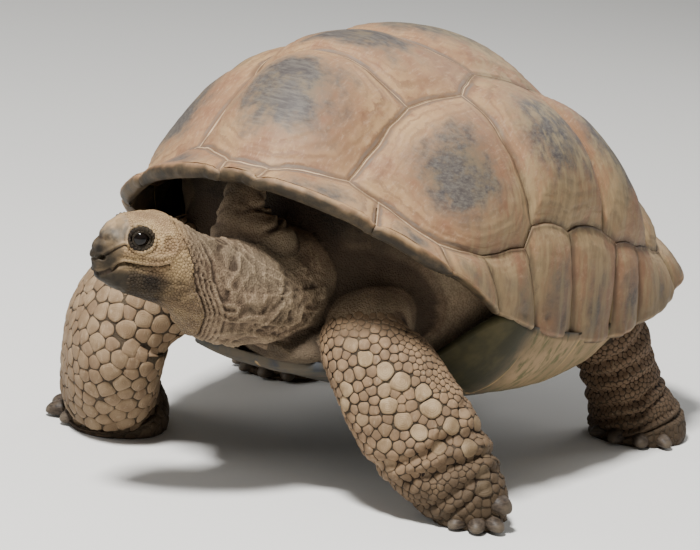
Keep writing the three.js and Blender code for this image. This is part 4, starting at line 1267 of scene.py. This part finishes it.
def face_shade(p):
    """How dark the head is: its own darker colour round the eyes, over the nose and along the
    lips, and painted shade under the jaw, down the throat and in the nostrils.
    """
    x, y, z = p[..., 0], np.abs(p[..., 1]), p[..., 2]
    from_eye = np.hypot(x - EYE_PLACE[0], z - EYE_PLACE[2])
    ring = bell(from_eye, 18.5, 8) * smooth(18, 30, y)
    mottle = hills(p, 9, 401)
    nose = 0.8 * smooth(26, 48, x - 0.35 * (z + 12) + 9 * mottle)
    nose = np.maximum(nose, 0.92 * smooth(16, 42, x + 7 * mottle) * smooth(6, -16, z))
    lips = 0.8 * smooth(-40, 8, x) * bell(z + 42, 9)
    # the lower beak's own dark horn, and painted shade under the jaw and down the throat
    jaw = 0.85 * smooth(-38, -52, z + 5 * mottle) * smooth(-60, 10, x) + 0.55 * smooth(-46, -66, z)
    crown = 0.3 * smooth(0, 24, x) * smooth(6, 16, z) * smooth(-0.1, 0.5, mottle)
    # painted shade in the nostrils
    nostril = bell(from_nostril(p), 4.4, 4)
    shade = np.maximum.reduce([0.95 * ring, nose, lips, jaw, crown, nostril])
    return np.clip(shade + 0.12 * hills(p, 14, 402), 0, 1)


def skin_finish():
    """Dry grey-brown hide, with a painted highlight where it rises and painted shade in the
    folds; tan and pebbled on the head, with a smooth grey-tan shield over the nose and a
    darker horn beak. Layers: horny share, depth of the fold, darkness, nearness to the head."""
    f = Finish("skin")
    horny, hollow, dark, head = f.layers("tint")
    patch = f.noise(f.place(), 24.0, 5.0, 0.6)
    wide = f.noise(f.place(), 8.0, 3.0, 0.6)
    fine = f.noise(f.place(), 210.0, 5.0, 0.65)
    pebble = f.node("ShaderNodeTexVoronoi", {"Vector": f.place(), "Scale": 330.0}, "Distance")
    colour = f.tones(patch, 0.36, 0.66, "5c4b3b", "7f6b56")
    colour = f.over(colour, f.step(wide, 0.42, 0.64), 0.5, "6f6350")
    tan = f.tones(patch, 0.36, 0.64, "8a7052", "ab9068")
    colour = f.blend(head, colour, tan)
    shield = f.tones(patch, 0.36, 0.58, "655c50", "937a5a")
    colour = f.blend(horny, colour, shield)
    shade = f.tones(patch, 0.4, 0.65, "15110c", "2e271c")
    # the darkness layer: the head's own dark parts and the hide between the scales, with painted shade
    # under the rim, the jaw and the throat
    colour = f.blend(dark, colour, shade)
    # painted shade in the folds
    colour = f.over(colour, f.step(hollow, 0.54, 0.92), 0.8, "2c2118")
    # painted highlight on the rises, weaker where the hide is dark
    pale = f.times(f.step(hollow, 0.45, 0.15), f.less(0.3, f.times(dark, 0.3)))
    colour = f.blend(pale, colour, rgb("b09a7c"))
    gaps = f.times(f.step(pebble, 0.35, 0.75), f.less(1.0, horny))
    colour = f.over(colour, gaps, 0.3, "3a2c20")
    relief = f.less(f.times(fine, 0.5), gaps)
    rough = f.less(0.76, f.times(horny, 0.2))
    return f.finish(colour, rough, relief, 0.0011, 0.7)


hide = join_bodies([head_surface, trunk_surface(), *(skinned(name) for name in HIDE_PARTS[2:])])
finish_hide(hide)
hide.name = "hide"
SKIN = skin_finish()
hang(hide, SKIN, "skin", "trunk", "neck", "head", "tail", "leg_front_left", "leg_front_right",
     "leg_rear_left", "leg_rear_right")
lids = []
for side, upper, outer in np.ndindex(2, 2, 2):
    roll = from_head(eyelid(2 * side - 1, upper == 1, outer == 1))
    tint = np.tile([0.6 - 0.6 * outer, 0.5, 1.0, 1.0], (*roll.shape[:2], 1))
    lids.append((roll, tint, True))
hang(make_mesh("eyelids", *bodies(lids)), SKIN, "skin")

# ---- Eyes -----------------------------------------------------------------------------
# Two balls of dark glass, so brown as to look black, polished so that they look wet. Each
# is set in its socket behind the lids.
EYE_NODES = {1: "eye_left", -1: "eye_right"}


def eyeball(side):
    """A ball as rings from pole to pole, with the cornea standing a little proud."""
    around = np.linspace(0, 2 * np.pi, 64, endpoint=False)[None]
    fall = np.linspace(0, np.pi, 42)[1:-1][:, None]
    reach = EYE_RADIUS + 0.9 * bell(fall, 0.55, 4)
    ring = np.stack([np.sin(fall) * np.cos(around) * reach, np.cos(fall) * reach + 0 * around,
                     np.sin(fall) * np.sin(around) * reach], -1)
    ring = ring + EYE_PLACE - [0, 0.6, 0]
    ring[..., 1] *= side
    tint = np.zeros((*ring.shape[:2], 4))
    tint[..., 0] = fall / np.pi
    return from_head(ring), tint, True


def eye_finish():
    """Polished glass: a black pupil in a brown-black iris, and brown round that."""
    f = Finish("eye")
    fall = f.layers("tint")[0]
    iris = f.tones(fall, 0.06, 0.075, "050404", "0f0a07")
    colour = f.blend(f.step(fall, 0.2, 0.26), iris, rgb("0a0705"))
    return f.finish(colour, 0.1, shine=0.25)


EYE = eye_finish()
for side, node in EYE_NODES.items():
    hang(make_mesh(f"{node}_ball", *bodies([eyeball(side)])), EYE, "eye", node)

# ---- Scales ---------------------------------------------------------------------------
# Plates of horn grown in the hide: a pavement of domed polygons on the legs, largest down
# the front of the forelegs and round the feet, and finer ones on the tail and the head. Each
# is a low closed body bedded a little way into the skin, and follows its folds.
# Widest scales down the front of the left foreleg: share down it, bearing, radius.
GREAT_SCALES = [
    (0.32, 105, 11.9), (0.358, 96, 14.2), (0.398, 87, 15.4), (0.45, 81, 16), (0.503, 69, 14),
    (0.555, 69, 17), (0.622, 63, 15.2), (0.372, 80, 8.7), (0.35, 82, 8.7), (0.33, 91, 9.3),
    (0.448, 97, 11.4), (0.485, 100, 14.8), (0.54, 95, 14.6), (0.59, 90, 14), (0.518, 85, 9.3),
    (0.65, 84, 13), (0.698, 57, 15.4), (0.785, 53, 14), (0.825, 65, 15.4), (0.665, 19, 15),
    (0.368, 121, 10.6), (0.358, 137, 10.2), (0.388, 135, 13), (0.422, 152, 13.5), (0.462, 125, 10.7),
    (0.4, 105, 8.9), (0.535, 114, 11.3), (0.575, 101, 7.8), (0.568, 126, 11.9), (0.592, 111, 10),
    (0.622, 38, 10.9), (0.582, 45, 8.7), (0.55, 51, 8.5), (0.742, 33, 12), (0.765, 40, 9.4),
    (0.348, 107, 7.9), (0.478, 114, 9.1), (0.428, 107, 9),
]
NEIGHBOURS = 16
PUSHING_NEIGHBOURS = 12
PUSHING_ROUNDS = 20
DOME_POWER = 6.0
# Where a cap's side and its flat back lie below its edge, in shares of its rise.
CAP_FOOT = [-0.25, -0.6]
CAP_LEAN = 0.16
FREE_REACH = 1.75
HELD_REACH = 1.22
LARGEST_SCALE = 18
UNWRAP_SIZE = 0.45
UNWRAP_CAP = 0.0015


def read_grid(grid, t, angle):
    """A grid's value at any share down it and any bearing round it."""
    rows, columns = grid.shape[:2]
    row = np.clip(t, 0, 1) * (rows - 1)
    column = angle / (2 * np.pi) * columns
    i, j = np.minimum(row.astype(int), rows - 2), np.floor(column).astype(int) % columns
    u, v = (row - i)[..., None], (column - np.floor(column))[..., None]
    k = (j + 1) % columns
    return mix(mix(grid[i, j], grid[i, k], v), mix(grid[i + 1, j], grid[i + 1, k], v), u)


def grid_slopes(surface):
    """How a limb's surface runs for each whole way down it, and for each radian round it."""
    tall = np.gradient(surface, 1 / (len(surface) - 1), axis=0)
    wide = (np.roll(surface, -1, 1) - np.roll(surface, 1, 1)) * surface.shape[1] / (4 * np.pi)
    return tall, wide


def nearest(places, count):
    """The numbers of each place's nearest neighbours."""
    found = []
    for start in range(0, len(places), 400):
        block = places[start:start + 400]
        gap = ((block**2).sum(1)[:, None] + (places**2).sum(1)[None] - 2 * block @ places.T)
        gap[np.arange(len(block)), np.arange(start, start + len(block))] = 1e12
        found.append(np.argpartition(gap, count, axis=1)[:, :count])
    return np.vstack(found)


def scatter(surface, radius_at, first, seed, tries):
    """Roots of scales over a limb: the given ones, then others thrown at random and kept
    where they fall clear of those before. Afterwards close neighbours push each other
    apart, each by the overlap of the two circles."""
    rng = np.random.default_rng(seed)
    t, angle = rng.uniform(0, 1, tries), rng.uniform(0, 2 * np.pi, tries)
    radius = radius_at(t, angle) * rng.uniform(0.8, 1.2, tries)
    if len(first):
        given = np.array(first, float)
        t, angle = np.append(given[:, 0], t), np.append(np.radians(given[:, 1]), angle)
        radius = np.append(given[:, 2], radius)
    places = read_grid(surface, t, angle)
    kept = np.zeros(len(t), int)
    count = 0
    for i in np.flatnonzero(radius > 0):
        held = kept[:count]
        gap = ((places[held] - places[i]) ** 2).sum(1)
        if i < len(first) or (gap > (0.76 * (radius[held] + radius[i])) ** 2).all():
            kept[count] = i
            count += 1
    t, angle, radius = (v[kept[:count]] for v in (t, angle, radius))
    tall, wide = grid_slopes(surface)
    near = nearest(read_grid(surface, t, angle), PUSHING_NEIGHBOURS)
    for turn in range(PUSHING_ROUNDS):
        places = read_grid(surface, t, angle)
        if turn == PUSHING_ROUNDS // 2:
            near = nearest(places, PUSHING_NEIGHBOURS)
        gap = places[:, None] - places[near]
        length = np.linalg.norm(gap, axis=-1) + 1e-6
        want = 1.02 * (radius[:, None] + radius[near])
        push = (gap / length[..., None] * np.clip(want - length, 0, None)[..., None]).sum(1) * 0.22
        push[: len(first)] *= 0.1
        down, across = read_grid(tall, t, angle), read_grid(wide, t, angle)
        t = np.clip(t + (push * down).sum(1) / (down**2).sum(1), 0.0, 1.0)
        angle = angle + (push * across).sum(1) / (across**2).sum(1)
    return t, angle, radius


def cell_reach(places, way_1, way_2, out, radius, gap, sides, widest):
    """How far each scale reaches along each of its bearings before the nearest of the lines
    that part it from its neighbours: share * distance / cos(bearing off the neighbour)."""
    near = nearest(places, NEIGHBOURS)
    away = places[near] - places[:, None]
    u, v = (away * way_1[:, None]).sum(-1), (away * way_2[:, None]).sum(-1)
    share = radius[:, None] / (radius[:, None] + radius[near])
    border = share * np.linalg.norm(away, axis=-1) - gap / 2
    facing = (out[near] * out[:, None]).sum(-1)
    bearing = 2 * np.pi * np.arange(sides) / sides
    lean = np.cos(bearing - np.arctan2(v, u)[..., None])
    faced = (lean > 0.1) & (facing > 0.2)[..., None]
    reach = np.where(faced, border[..., None] / np.maximum(lean, 0.1), 1e9)
    reach = np.minimum(reach.min(1), (widest * radius)[:, None])
    reach = 0.7 * reach + 0.15 * np.roll(reach, 1, 1) + 0.15 * np.roll(reach, -1, 1)
    return np.maximum(reach, 0.12 * radius[:, None])


def cap_faces(index):
    """Faces of the caps, from the number of each point by cap, ring and bearing: a fan round
    the crown, quads from ring to ring, and a fan across the flat back."""
    count, _, sides = index.shape
    a, d = index[:, 1:-1], index[:, 2:]
    quads = np.stack([a, np.roll(a, -1, 2), np.roll(d, -1, 2), d], -1)
    crown = np.broadcast_to(index[:, :1, 0], (count, sides))
    top = np.stack([crown, np.roll(index[:, 1], -1, 1), index[:, 1]], -1)
    last = index[:, -1]
    corner = np.broadcast_to(last[:, :1], (count, sides - 2))
    back = np.stack([corner, last[:, 1:-1], last[:, 2:]], -1)
    return quads.reshape(count, -1, 4), top, back


def unwrap_caps(piece, spots):
    """Lays every point's spot on the flat in the map that its colours are baked to."""
    corners = np.empty(len(piece.data.loops), np.int32)
    piece.data.loops.foreach_get("vertex_index", corners)
    layer = piece.data.uv_layers.new(name="OFBake")
    layer.data.foreach_set("uv", spots[corners].astype(np.float32).ravel())


def scale_coat(name, surface, roots, height, gap, sides, rings, seed, held, shingle):
    """Every scale of one limb as a closed cap: rings of a share of its cell, raised by its
    dome of 1 - share^power and tipped a little, then a wall down into the skin and a flat
    back. Colour layer: share of the way to the edge, a random number, the size (on the
    head, its darkness), and the place down the limb."""
    t, angle, radius = roots
    rng = np.random.default_rng(seed)
    count = len(t)
    tall, wide = grid_slopes(surface)
    normal = unit(np.cross(wide, tall))
    middle = surface.mean(1, keepdims=True)
    if (normal * (surface - middle)).sum() < 0:
        normal = -normal
    places, out = read_grid(surface, t, angle), unit(read_grid(normal, t, angle))
    down, across = read_grid(tall, t, angle), read_grid(wide, t, angle)
    way_1 = unit(across - (across * out).sum(-1, keepdims=True) * out)
    way_2 = np.cross(out, way_1)
    bearing = 2 * np.pi * np.arange(sides) / sides
    widest = np.where(np.arange(count) < held, HELD_REACH, FREE_REACH)
    reach = cell_reach(places, way_1, way_2, out, radius, gap, sides, widest)
    u, v = reach * np.cos(bearing), reach * np.sin(bearing)
    skew = (down * way_1).sum(-1)[:, None]
    rise = (down * way_2).sum(-1)[:, None]
    dt = np.clip(v / np.where(np.abs(rise) < 1, 1, rise), -0.05, 0.05)
    da = (u - dt * skew) / np.linalg.norm(across, axis=-1)[:, None]
    share = np.array([0.001, *rings, 1.0, 0.97])
    levels = len(share)
    dome_height = np.append(1 - (share[:-2] / 1.02) ** DOME_POWER, CAP_FOOT)
    lean = rng.uniform(-CAP_LEAN, CAP_LEAN, (count, 2))
    lumps = rng.uniform(0.8, 1.2, count)
    at_t = t[:, None, None] + share[None, :, None] * dt[:, None]
    at_angle = angle[:, None, None] + share[None, :, None] * da[:, None]
    base, up = read_grid(surface, at_t, at_angle), unit(read_grid(normal, at_t, at_angle))
    lean[:, 1] += shingle * np.sign(rise[:, 0])
    tilt = lean[:, :1, None] * np.cos(bearing) + lean[:, 1:, None] * np.sin(bearing)
    tilt = share[None, :, None] * tilt * (dome_height > 0)[None, :, None]
    lift = (height * lumps)[:, None, None] * (dome_height[None, :, None] + tilt)
    points = base + up * lift[..., None]
    points[..., 2] = np.maximum(points[..., 2], 0.3)
    points[:, 0] = points[:, 0].mean(1, keepdims=True)
    index = np.arange(count * levels * sides).reshape(count, levels, sides)
    quads, top, back = cap_faces(index)
    first = points[0].reshape(-1, 3)
    turned, _ = facing_out(first - first.mean(0), quads[0], np.vstack([top[0], back[0]]))
    inside_out = not np.array_equal(turned, quads[0])
    quads, tris = quads.reshape(-1, 4), np.vstack([top.reshape(-1, 3), back.reshape(-1, 3)])
    if inside_out:
        quads, tris = quads[:, ::-1], tris[:, ::-1]
    tone = face_shade(to_head(places)) if name == "scales_head" else np.clip(radius / LARGEST_SCALE, 0, 1)
    tint = np.zeros((count, levels, sides, 4))
    tint[..., 0] = np.minimum(share, 1)[None, :, None]
    tint[..., 0] += np.where(np.arange(levels) >= levels - 2, 0.3, 0)[None, :, None]
    tint[..., 1] = rng.uniform(0, 1, count)[:, None, None]
    tint[..., 2] = tone[:, None, None]
    tint[..., 3] = t[:, None, None]
    used = np.ones(count * levels * sides, bool)
    used[index[:, 0, 1:].ravel()] = False
    renumber = np.cumsum(used) - 1
    piece = make_mesh(name, points.reshape(-1, 3)[used], renumber[quads], renumber[tris],
                      tint.reshape(-1, 4)[used])
    ring = np.stack([np.cos(bearing), np.sin(bearing)], -1)
    spread = share[None, :, None, None] * ring * np.ones((count, 1, 1, 1)) * UNWRAP_CAP
    root = np.stack([angle / (2 * np.pi) % 1, t], -1)[:, None, None] * UNWRAP_SIZE
    unwrap_caps(piece, (root + spread + 0.002).reshape(-1, 2)[used])
    return piece


def scale_finish(name, worn):
    """Worn horn scales: pale grey-beige crowns with fine rings and scratches, and dark
    brown gaps between them. The share called worn is painted shade over the whole coat, for
    legs that stand in shade; towards the foot they are darker and browner, painted shade with
    some dirt. Layers: share of the way to the edge, a random number, size, place down the limb."""
    f = Finish(name)
    edge, chance, size, low = f.layers("tint")
    patch = f.noise(f.place(), 36.0, 5.0, 0.6)
    fine = f.noise(f.place(), 240.0, 4.0, 0.6)
    streak = f.noise(f.place((1.0, 1.0, 0.3), (0.4, 0.5, 0)), 160.0, 5.0, 0.7)
    small = f.tones(patch, 0.36, 0.66, "76604a", "94795c")
    great = f.tones(patch, 0.36, 0.66, "8d7658", "b39b79")
    colour = f.blend(f.step(size, 0.5, 0.8), small, great)
    # painted shade: worn darkens the whole coat of a leg that stands in shade
    colour = f.blend(worn, colour, rgb("65503f"))
    colour = f.over(colour, chance, 0.4, "6a5540")
    colour = f.over(colour, f.step(streak, 0.52, 0.75), 0.3, "c4b195")
    rings = f.math("SINE", f.plus(f.times(edge, 30.0), f.times(patch, 6.0)))
    colour = f.over(colour, f.step(rings, 0.3, 1.0), 0.16, "5d4936")
    # painted shade, with some dirt: darker and browner towards the foot
    colour = f.over(colour, f.step(low, 0.5, 0.84), 0.85, "3b3023")
    rim = f.times(f.step(edge, 0.88, 1.0), 0.6)
    colour = f.blend(rim, colour, rgb("3f3024"))
    colour = f.blend(f.step(edge, 1.0, 1.15), colour, rgb("20160f"))
    relief = f.plus(f.times(rings, 0.22), f.plus(fine, f.times(streak, 0.7)))
    return f.finish(colour, 0.66, relief, 0.0009, 0.6)


def face_scale_finish():
    """Fine pebbles in the hide's colours: tan, darker round eye, nose and lips, with painted
    shade down the throat. Layers: share of the way to the edge, a random number, darkness."""
    f = Finish("fine scales")
    edge, chance, shade, _ = f.layers("tint")
    patch = f.noise(f.place(), 24.0, 5.0, 0.6)
    fine = f.noise(f.place(), 240.0, 4.0, 0.6)
    tan = f.tones(patch, 0.36, 0.64, "8a7052", "ab9068")
    colour = f.blend(f.times(chance, 0.4), tan, rgb("6b5844"))
    dark = f.tones(patch, 0.4, 0.65, "1c1710", "372e21")
    colour = f.blend(shade, colour, dark)
    colour = f.over(colour, f.step(edge, 0.6, 1.0), 0.6, "3c2f23")
    return f.finish(colour, 0.68, fine, 0.0006, 0.5)


SCALES = scale_finish("scales", 0.0)
# The right foreleg's and the hind legs' coats are copies in painted shade.
SHADED_FORELEG_SCALES = scale_finish("shaded scales of the right foreleg", 0.5)
SHADED_SCALES = scale_finish("shaded scales of the hind legs", 0.75)
FACE_SCALES = face_scale_finish()


def arc(angle, middle, half):
    """1 within a band of bearings, falling smoothly to 0 outside it."""
    turn = np.abs((angle - np.radians(middle) + np.pi) % (2 * np.pi) - np.pi)
    return 1 - smooth(np.radians(half * 0.75), np.radians(half * 1.25), turn)


def left_arm_size(t, angle):
    """Scale radius on the left foreleg: medium in front, narrow on its outer side, small at
    the elbow and in the creases, wide again over the wrist's back and round the foot."""
    r = mix(7.2, 8.4, arc(angle, 100, 70))
    r = mix(r, 10.2, arc(angle, 135, 32) * smooth(0.32, 0.4, t) * (1 - smooth(0.6, 0.68, t)))
    r = mix(r, 5.2, arc(angle, 20, 45) * (1 - smooth(0.5, 0.66, t)))
    r = mix(r, 9.5, smooth(0.82, 0.92, t))
    r = mix(r, 4.6, 1 - smooth(0.27, 0.32, t))
    r = mix(r, 5.2, bell(t - 0.735, 0.03) * arc(angle, 110, 60))
    return np.where(t < 0.262, 0, r)


def right_arm_size(t, angle):
    """Scale radius on the right foreleg: wide in front, small at the wrist."""
    r = mix(10.5, 14.0, arc(angle, 60, 120))
    r = mix(r, 8.0, smooth(0.7, 0.78, t))
    r = mix(r, 10.5, smooth(0.86, 0.95, t))
    return np.where((t < 0.14) | (t > 0.96), 0, r)


def hind_size(t, angle):
    """Scale radius on the hind legs: small, and wider round the foot."""
    r = mix(4.6, 8.0, smooth(0.78, 0.92, t))
    return np.where((t < 0.2) | (t > 0.96), 0, r)


def tail_size(t, angle):
    """Scale radius on the tail: smaller towards the tip, and none at the root."""
    return np.where(t < 0.12, 0, mix(6.5, 4.5, t))


def face_size(t, angle):
    """Pebbles on crown and cheeks, none on horn, lids or lips, nor behind the collar."""
    p = read_grid(head_place, t, angle)
    x, y, z = p[..., 0], np.abs(p[..., 1]), p[..., 2]
    r = mix(2.5, 1.9, smooth(2, 20, z))
    bare = (horny_share(p) > 0.3) | ((np.hypot(x - EYE_PLACE[0], z - EYE_PLACE[2]) < 20) & (y > 20))
    above = z - np.interp(x, *np.array(MOUTH).T)
    bare = bare | ((x > MOUTH_CORNER) & (above < 4.5) & (above > -5)) | (from_collar(p) < 3)
    return np.where(bare, 0, r)


COATS = {
    # radius at a place, scales given one by one, tries, rise as a share of the radius, gap, sides,
    # rings, how far each tips over the next, finish
    "front_left": (left_arm_size, GREAT_SCALES, 26000, 0.17, 0.5, 16, (0.45, 0.8, 0.95), 0.45, SCALES),
    "front_right": (right_arm_size, [], 12000, 0.16, 0.5, 18, (0.45, 0.8, 0.95), 0.15, SHADED_FORELEG_SCALES),
    "rear_left": (hind_size, [], 24000, 0.07, 0.5, 10, (0.6, 0.88), 0.1, SHADED_SCALES),
    "rear_right": (hind_size, [], 24000, 0.07, 0.5, 10, (0.6, 0.88), 0.1, SHADED_SCALES),
    "tail": (tail_size, [], 8000, 0.2, 0.6, 12, (0.5, 0.85), 0.2, SCALES),
    "head": (face_size, [], 60000, 0.12, 0.3, 8, (0.7,), 0.0, FACE_SCALES),
}
SMALLEST_RISE = 0.35
for number, (name, row) in enumerate(COATS.items()):
    size, first, tries, rise, gap, sides, rings, shingle, finish = row
    surface = head_surface if name == "head" else skinned(name)
    roots = scatter(surface, size, first, 500 + number, tries)
    height = rise * roots[2] + SMALLEST_RISE
    coat = scale_coat(f"scales_{name}", surface, roots, height, gap, sides, rings, 600 + number,
                      len(first), shingle)
    hang(coat, finish, "skin")

# ---- Claws ----------------------------------------------------------------------------
# Blunt nails of dark horn, broad and round in front, worn flat underneath by walking. Five
# to a forefoot and four to a hind foot, each bedded in the toe's last scales.
# Middle of each foot: (x, y).
FEET = {
    "front_left": (352, -284), "front_right": (-346, -222),
    "rear_left": (320, 397), "rear_right": (-313, 295),
}
CLAWS = {
    # bearing from straight ahead, distance from the foot's middle, height, half width
    "front_left": [(-42, 47, 12, 12), (-8, 50, 12, 12.5), (26, 50, 12, 12.5), (59, 49, 14, 13),
                   (74, 43, 42, 17)],
    "front_right": [(-88, 100, 14, 13), (-58, 95, 14, 14), (-28, 84, 14, 14), (2, 81, 14, 14),
                    (32, 88, 14, 13)],
    "rear_left": [(-30, 76, 13, 12), (-2, 77, 13, 13), (28, 77, 13, 13), (58, 76, 13, 12)],
    "rear_right": [(-58, 76, 13, 12), (-28, 77, 13, 13), (2, 77, 13, 13), (30, 76, 13, 12)],
}
CLAW_LENGTH = 34
CLAW_BREADTH = 1.2
CLAW_SET_IN = 12


def nail(foot, bearing, distance, height, half):
    """A nail as rings from root to tip: width falls off as an ellipse, the ridge of the
    back droops forward, and the underside is flattened."""
    along = np.linspace(-0.35, 0.985, 26)[:, None]
    around = np.linspace(0, 2 * np.pi, 32, endpoint=False)[None]
    b = np.radians(bearing)
    out, across = np.array([np.sin(b), -np.cos(b), 0]), np.array([np.cos(b), np.sin(b), 0])
    size = np.sqrt(np.clip(1 - np.clip(along, 0, 1) ** 2.8, 0, 1)) * half * CLAW_BREADTH
    droop = 4.5 * np.clip(along, 0, 1) ** 2
    under = np.where(np.sin(around) < 0, 0.62, 0.9)
    ripple = 1 + 0.02 * np.sin(along * 42)
    side, up = size * np.cos(around) * ripple, size * under * np.sin(around) * ripple
    forward = along * CLAW_LENGTH - CLAW_SET_IN
    middle = np.array([*FEET[foot], height]) + out * distance
    ring = middle + forward[..., None] * out + side[..., None] * across
    ring[..., 2] = np.maximum(ring[..., 2] + up - droop, 0.3)
    tint = np.zeros((*ring.shape[:2], 4))
    tint[..., 0] = (along + 0.35) / 1.35
    return ring, tint, True


def claw_finish():
    """Dark grey-brown horn with lengthwise grain, paler where it is worn at the tip."""
    f = Finish("claws")
    worn = f.layers("tint")[0]
    grain = f.noise(f.place((1, 1, 3)), 120.0, 5.0, 0.65)
    patch = f.noise(f.place(), 45.0, 3.0, 0.6)
    colour = f.tones(grain, 0.35, 0.65, "2a231d", "4a3f34")
    colour = f.over(colour, f.step(patch, 0.4, 0.7), 0.5, "584e44")
    colour = f.over(colour, f.step(worn, 0.8, 1.0), 0.4, "6a5f50")
    return f.finish(colour, 0.5, grain, 0.0006, 0.5)


CLAW = claw_finish()
for foot, row in CLAWS.items():
    for number, (bearing, distance, height, half) in enumerate(row):
        body = nail(foot, bearing, distance, height, half)
        piece = make_mesh(f"nail_{foot}_{number + 1}", *bodies([body]))
        hang(piece, CLAW, "claw_horn", f"claw_{foot}_{number + 1}")

# ---- Floor, light and camera ----------------------------------------------------------
# A plain pale floor, a soft key high in front, a weak fill from the animal's right and a weak
# light behind.
FLOOR_HALF = 30
floor_mesh = bpy.data.meshes.new("floor")
floor_corners = [(-FLOOR_HALF, -FLOOR_HALF, 0), (FLOOR_HALF, -FLOOR_HALF, 0),
                 (FLOOR_HALF, FLOOR_HALF, 0), (-FLOOR_HALF, FLOOR_HALF, 0)]
floor_mesh.from_pydata(floor_corners, [], [(0, 1, 2, 3)])
floor = bpy.data.objects.new("floor", floor_mesh)
bpy.context.scene.collection.objects.link(floor)
floor_paint = Finish("pale floor")
floor_mesh.materials.append(floor_paint.finish(rgb("dcdad5"), 0.8))

world = bpy.data.worlds.new("studio")
world.use_nodes = True
sky = world.node_tree.nodes["Background"]
sky.inputs["Color"].default_value = rgb("eef1f4")
sky.inputs["Strength"].default_value = 0.26
bpy.context.scene.world = world


def soft_light(name, place, power, size, aim=(0.0, 0.0, 0.35)):
    """A square area light that faces a point."""
    data = bpy.data.lights.new(name, "AREA")
    data.energy = power
    data.size = size
    light = bpy.data.objects.new(name, data)
    light.location = place
    light.rotation_euler = (Vector(aim) - Vector(place)).to_track_quat("-Z", "Y").to_euler()
    bpy.context.scene.collection.objects.link(light)


soft_light("key", (0.2, -2.6, 5.2), 740, 0.8)
soft_light("fill", (-3.4, -2.6, 2.4), 60, 3.0)
soft_light("back", (0.6, 3.6, 3.0), 60, 2.5)

CAMERA_PLACE = (2.7279, -5.3318, 1.6800)
CAMERA_RIGHT = Vector((0.87488, 0.47387, 0.10012))
CAMERA_UP = Vector((-0.19421, 0.15387, 0.96882))
CAMERA_BACK = Vector((0.44369, -0.86705, 0.22665))
FOCAL_LENGTH = 193.9
camera_data = bpy.data.cameras.new("camera")
camera_data.lens = FOCAL_LENGTH
camera_data.sensor_width = 36
camera = bpy.data.objects.new("camera", camera_data)
turned = Matrix((CAMERA_RIGHT, CAMERA_UP, CAMERA_BACK)).transposed()
camera.matrix_world = Matrix.Translation(CAMERA_PLACE) @ turned.to_4x4()
bpy.context.scene.collection.objects.link(camera)
bpy.context.scene.camera = camera
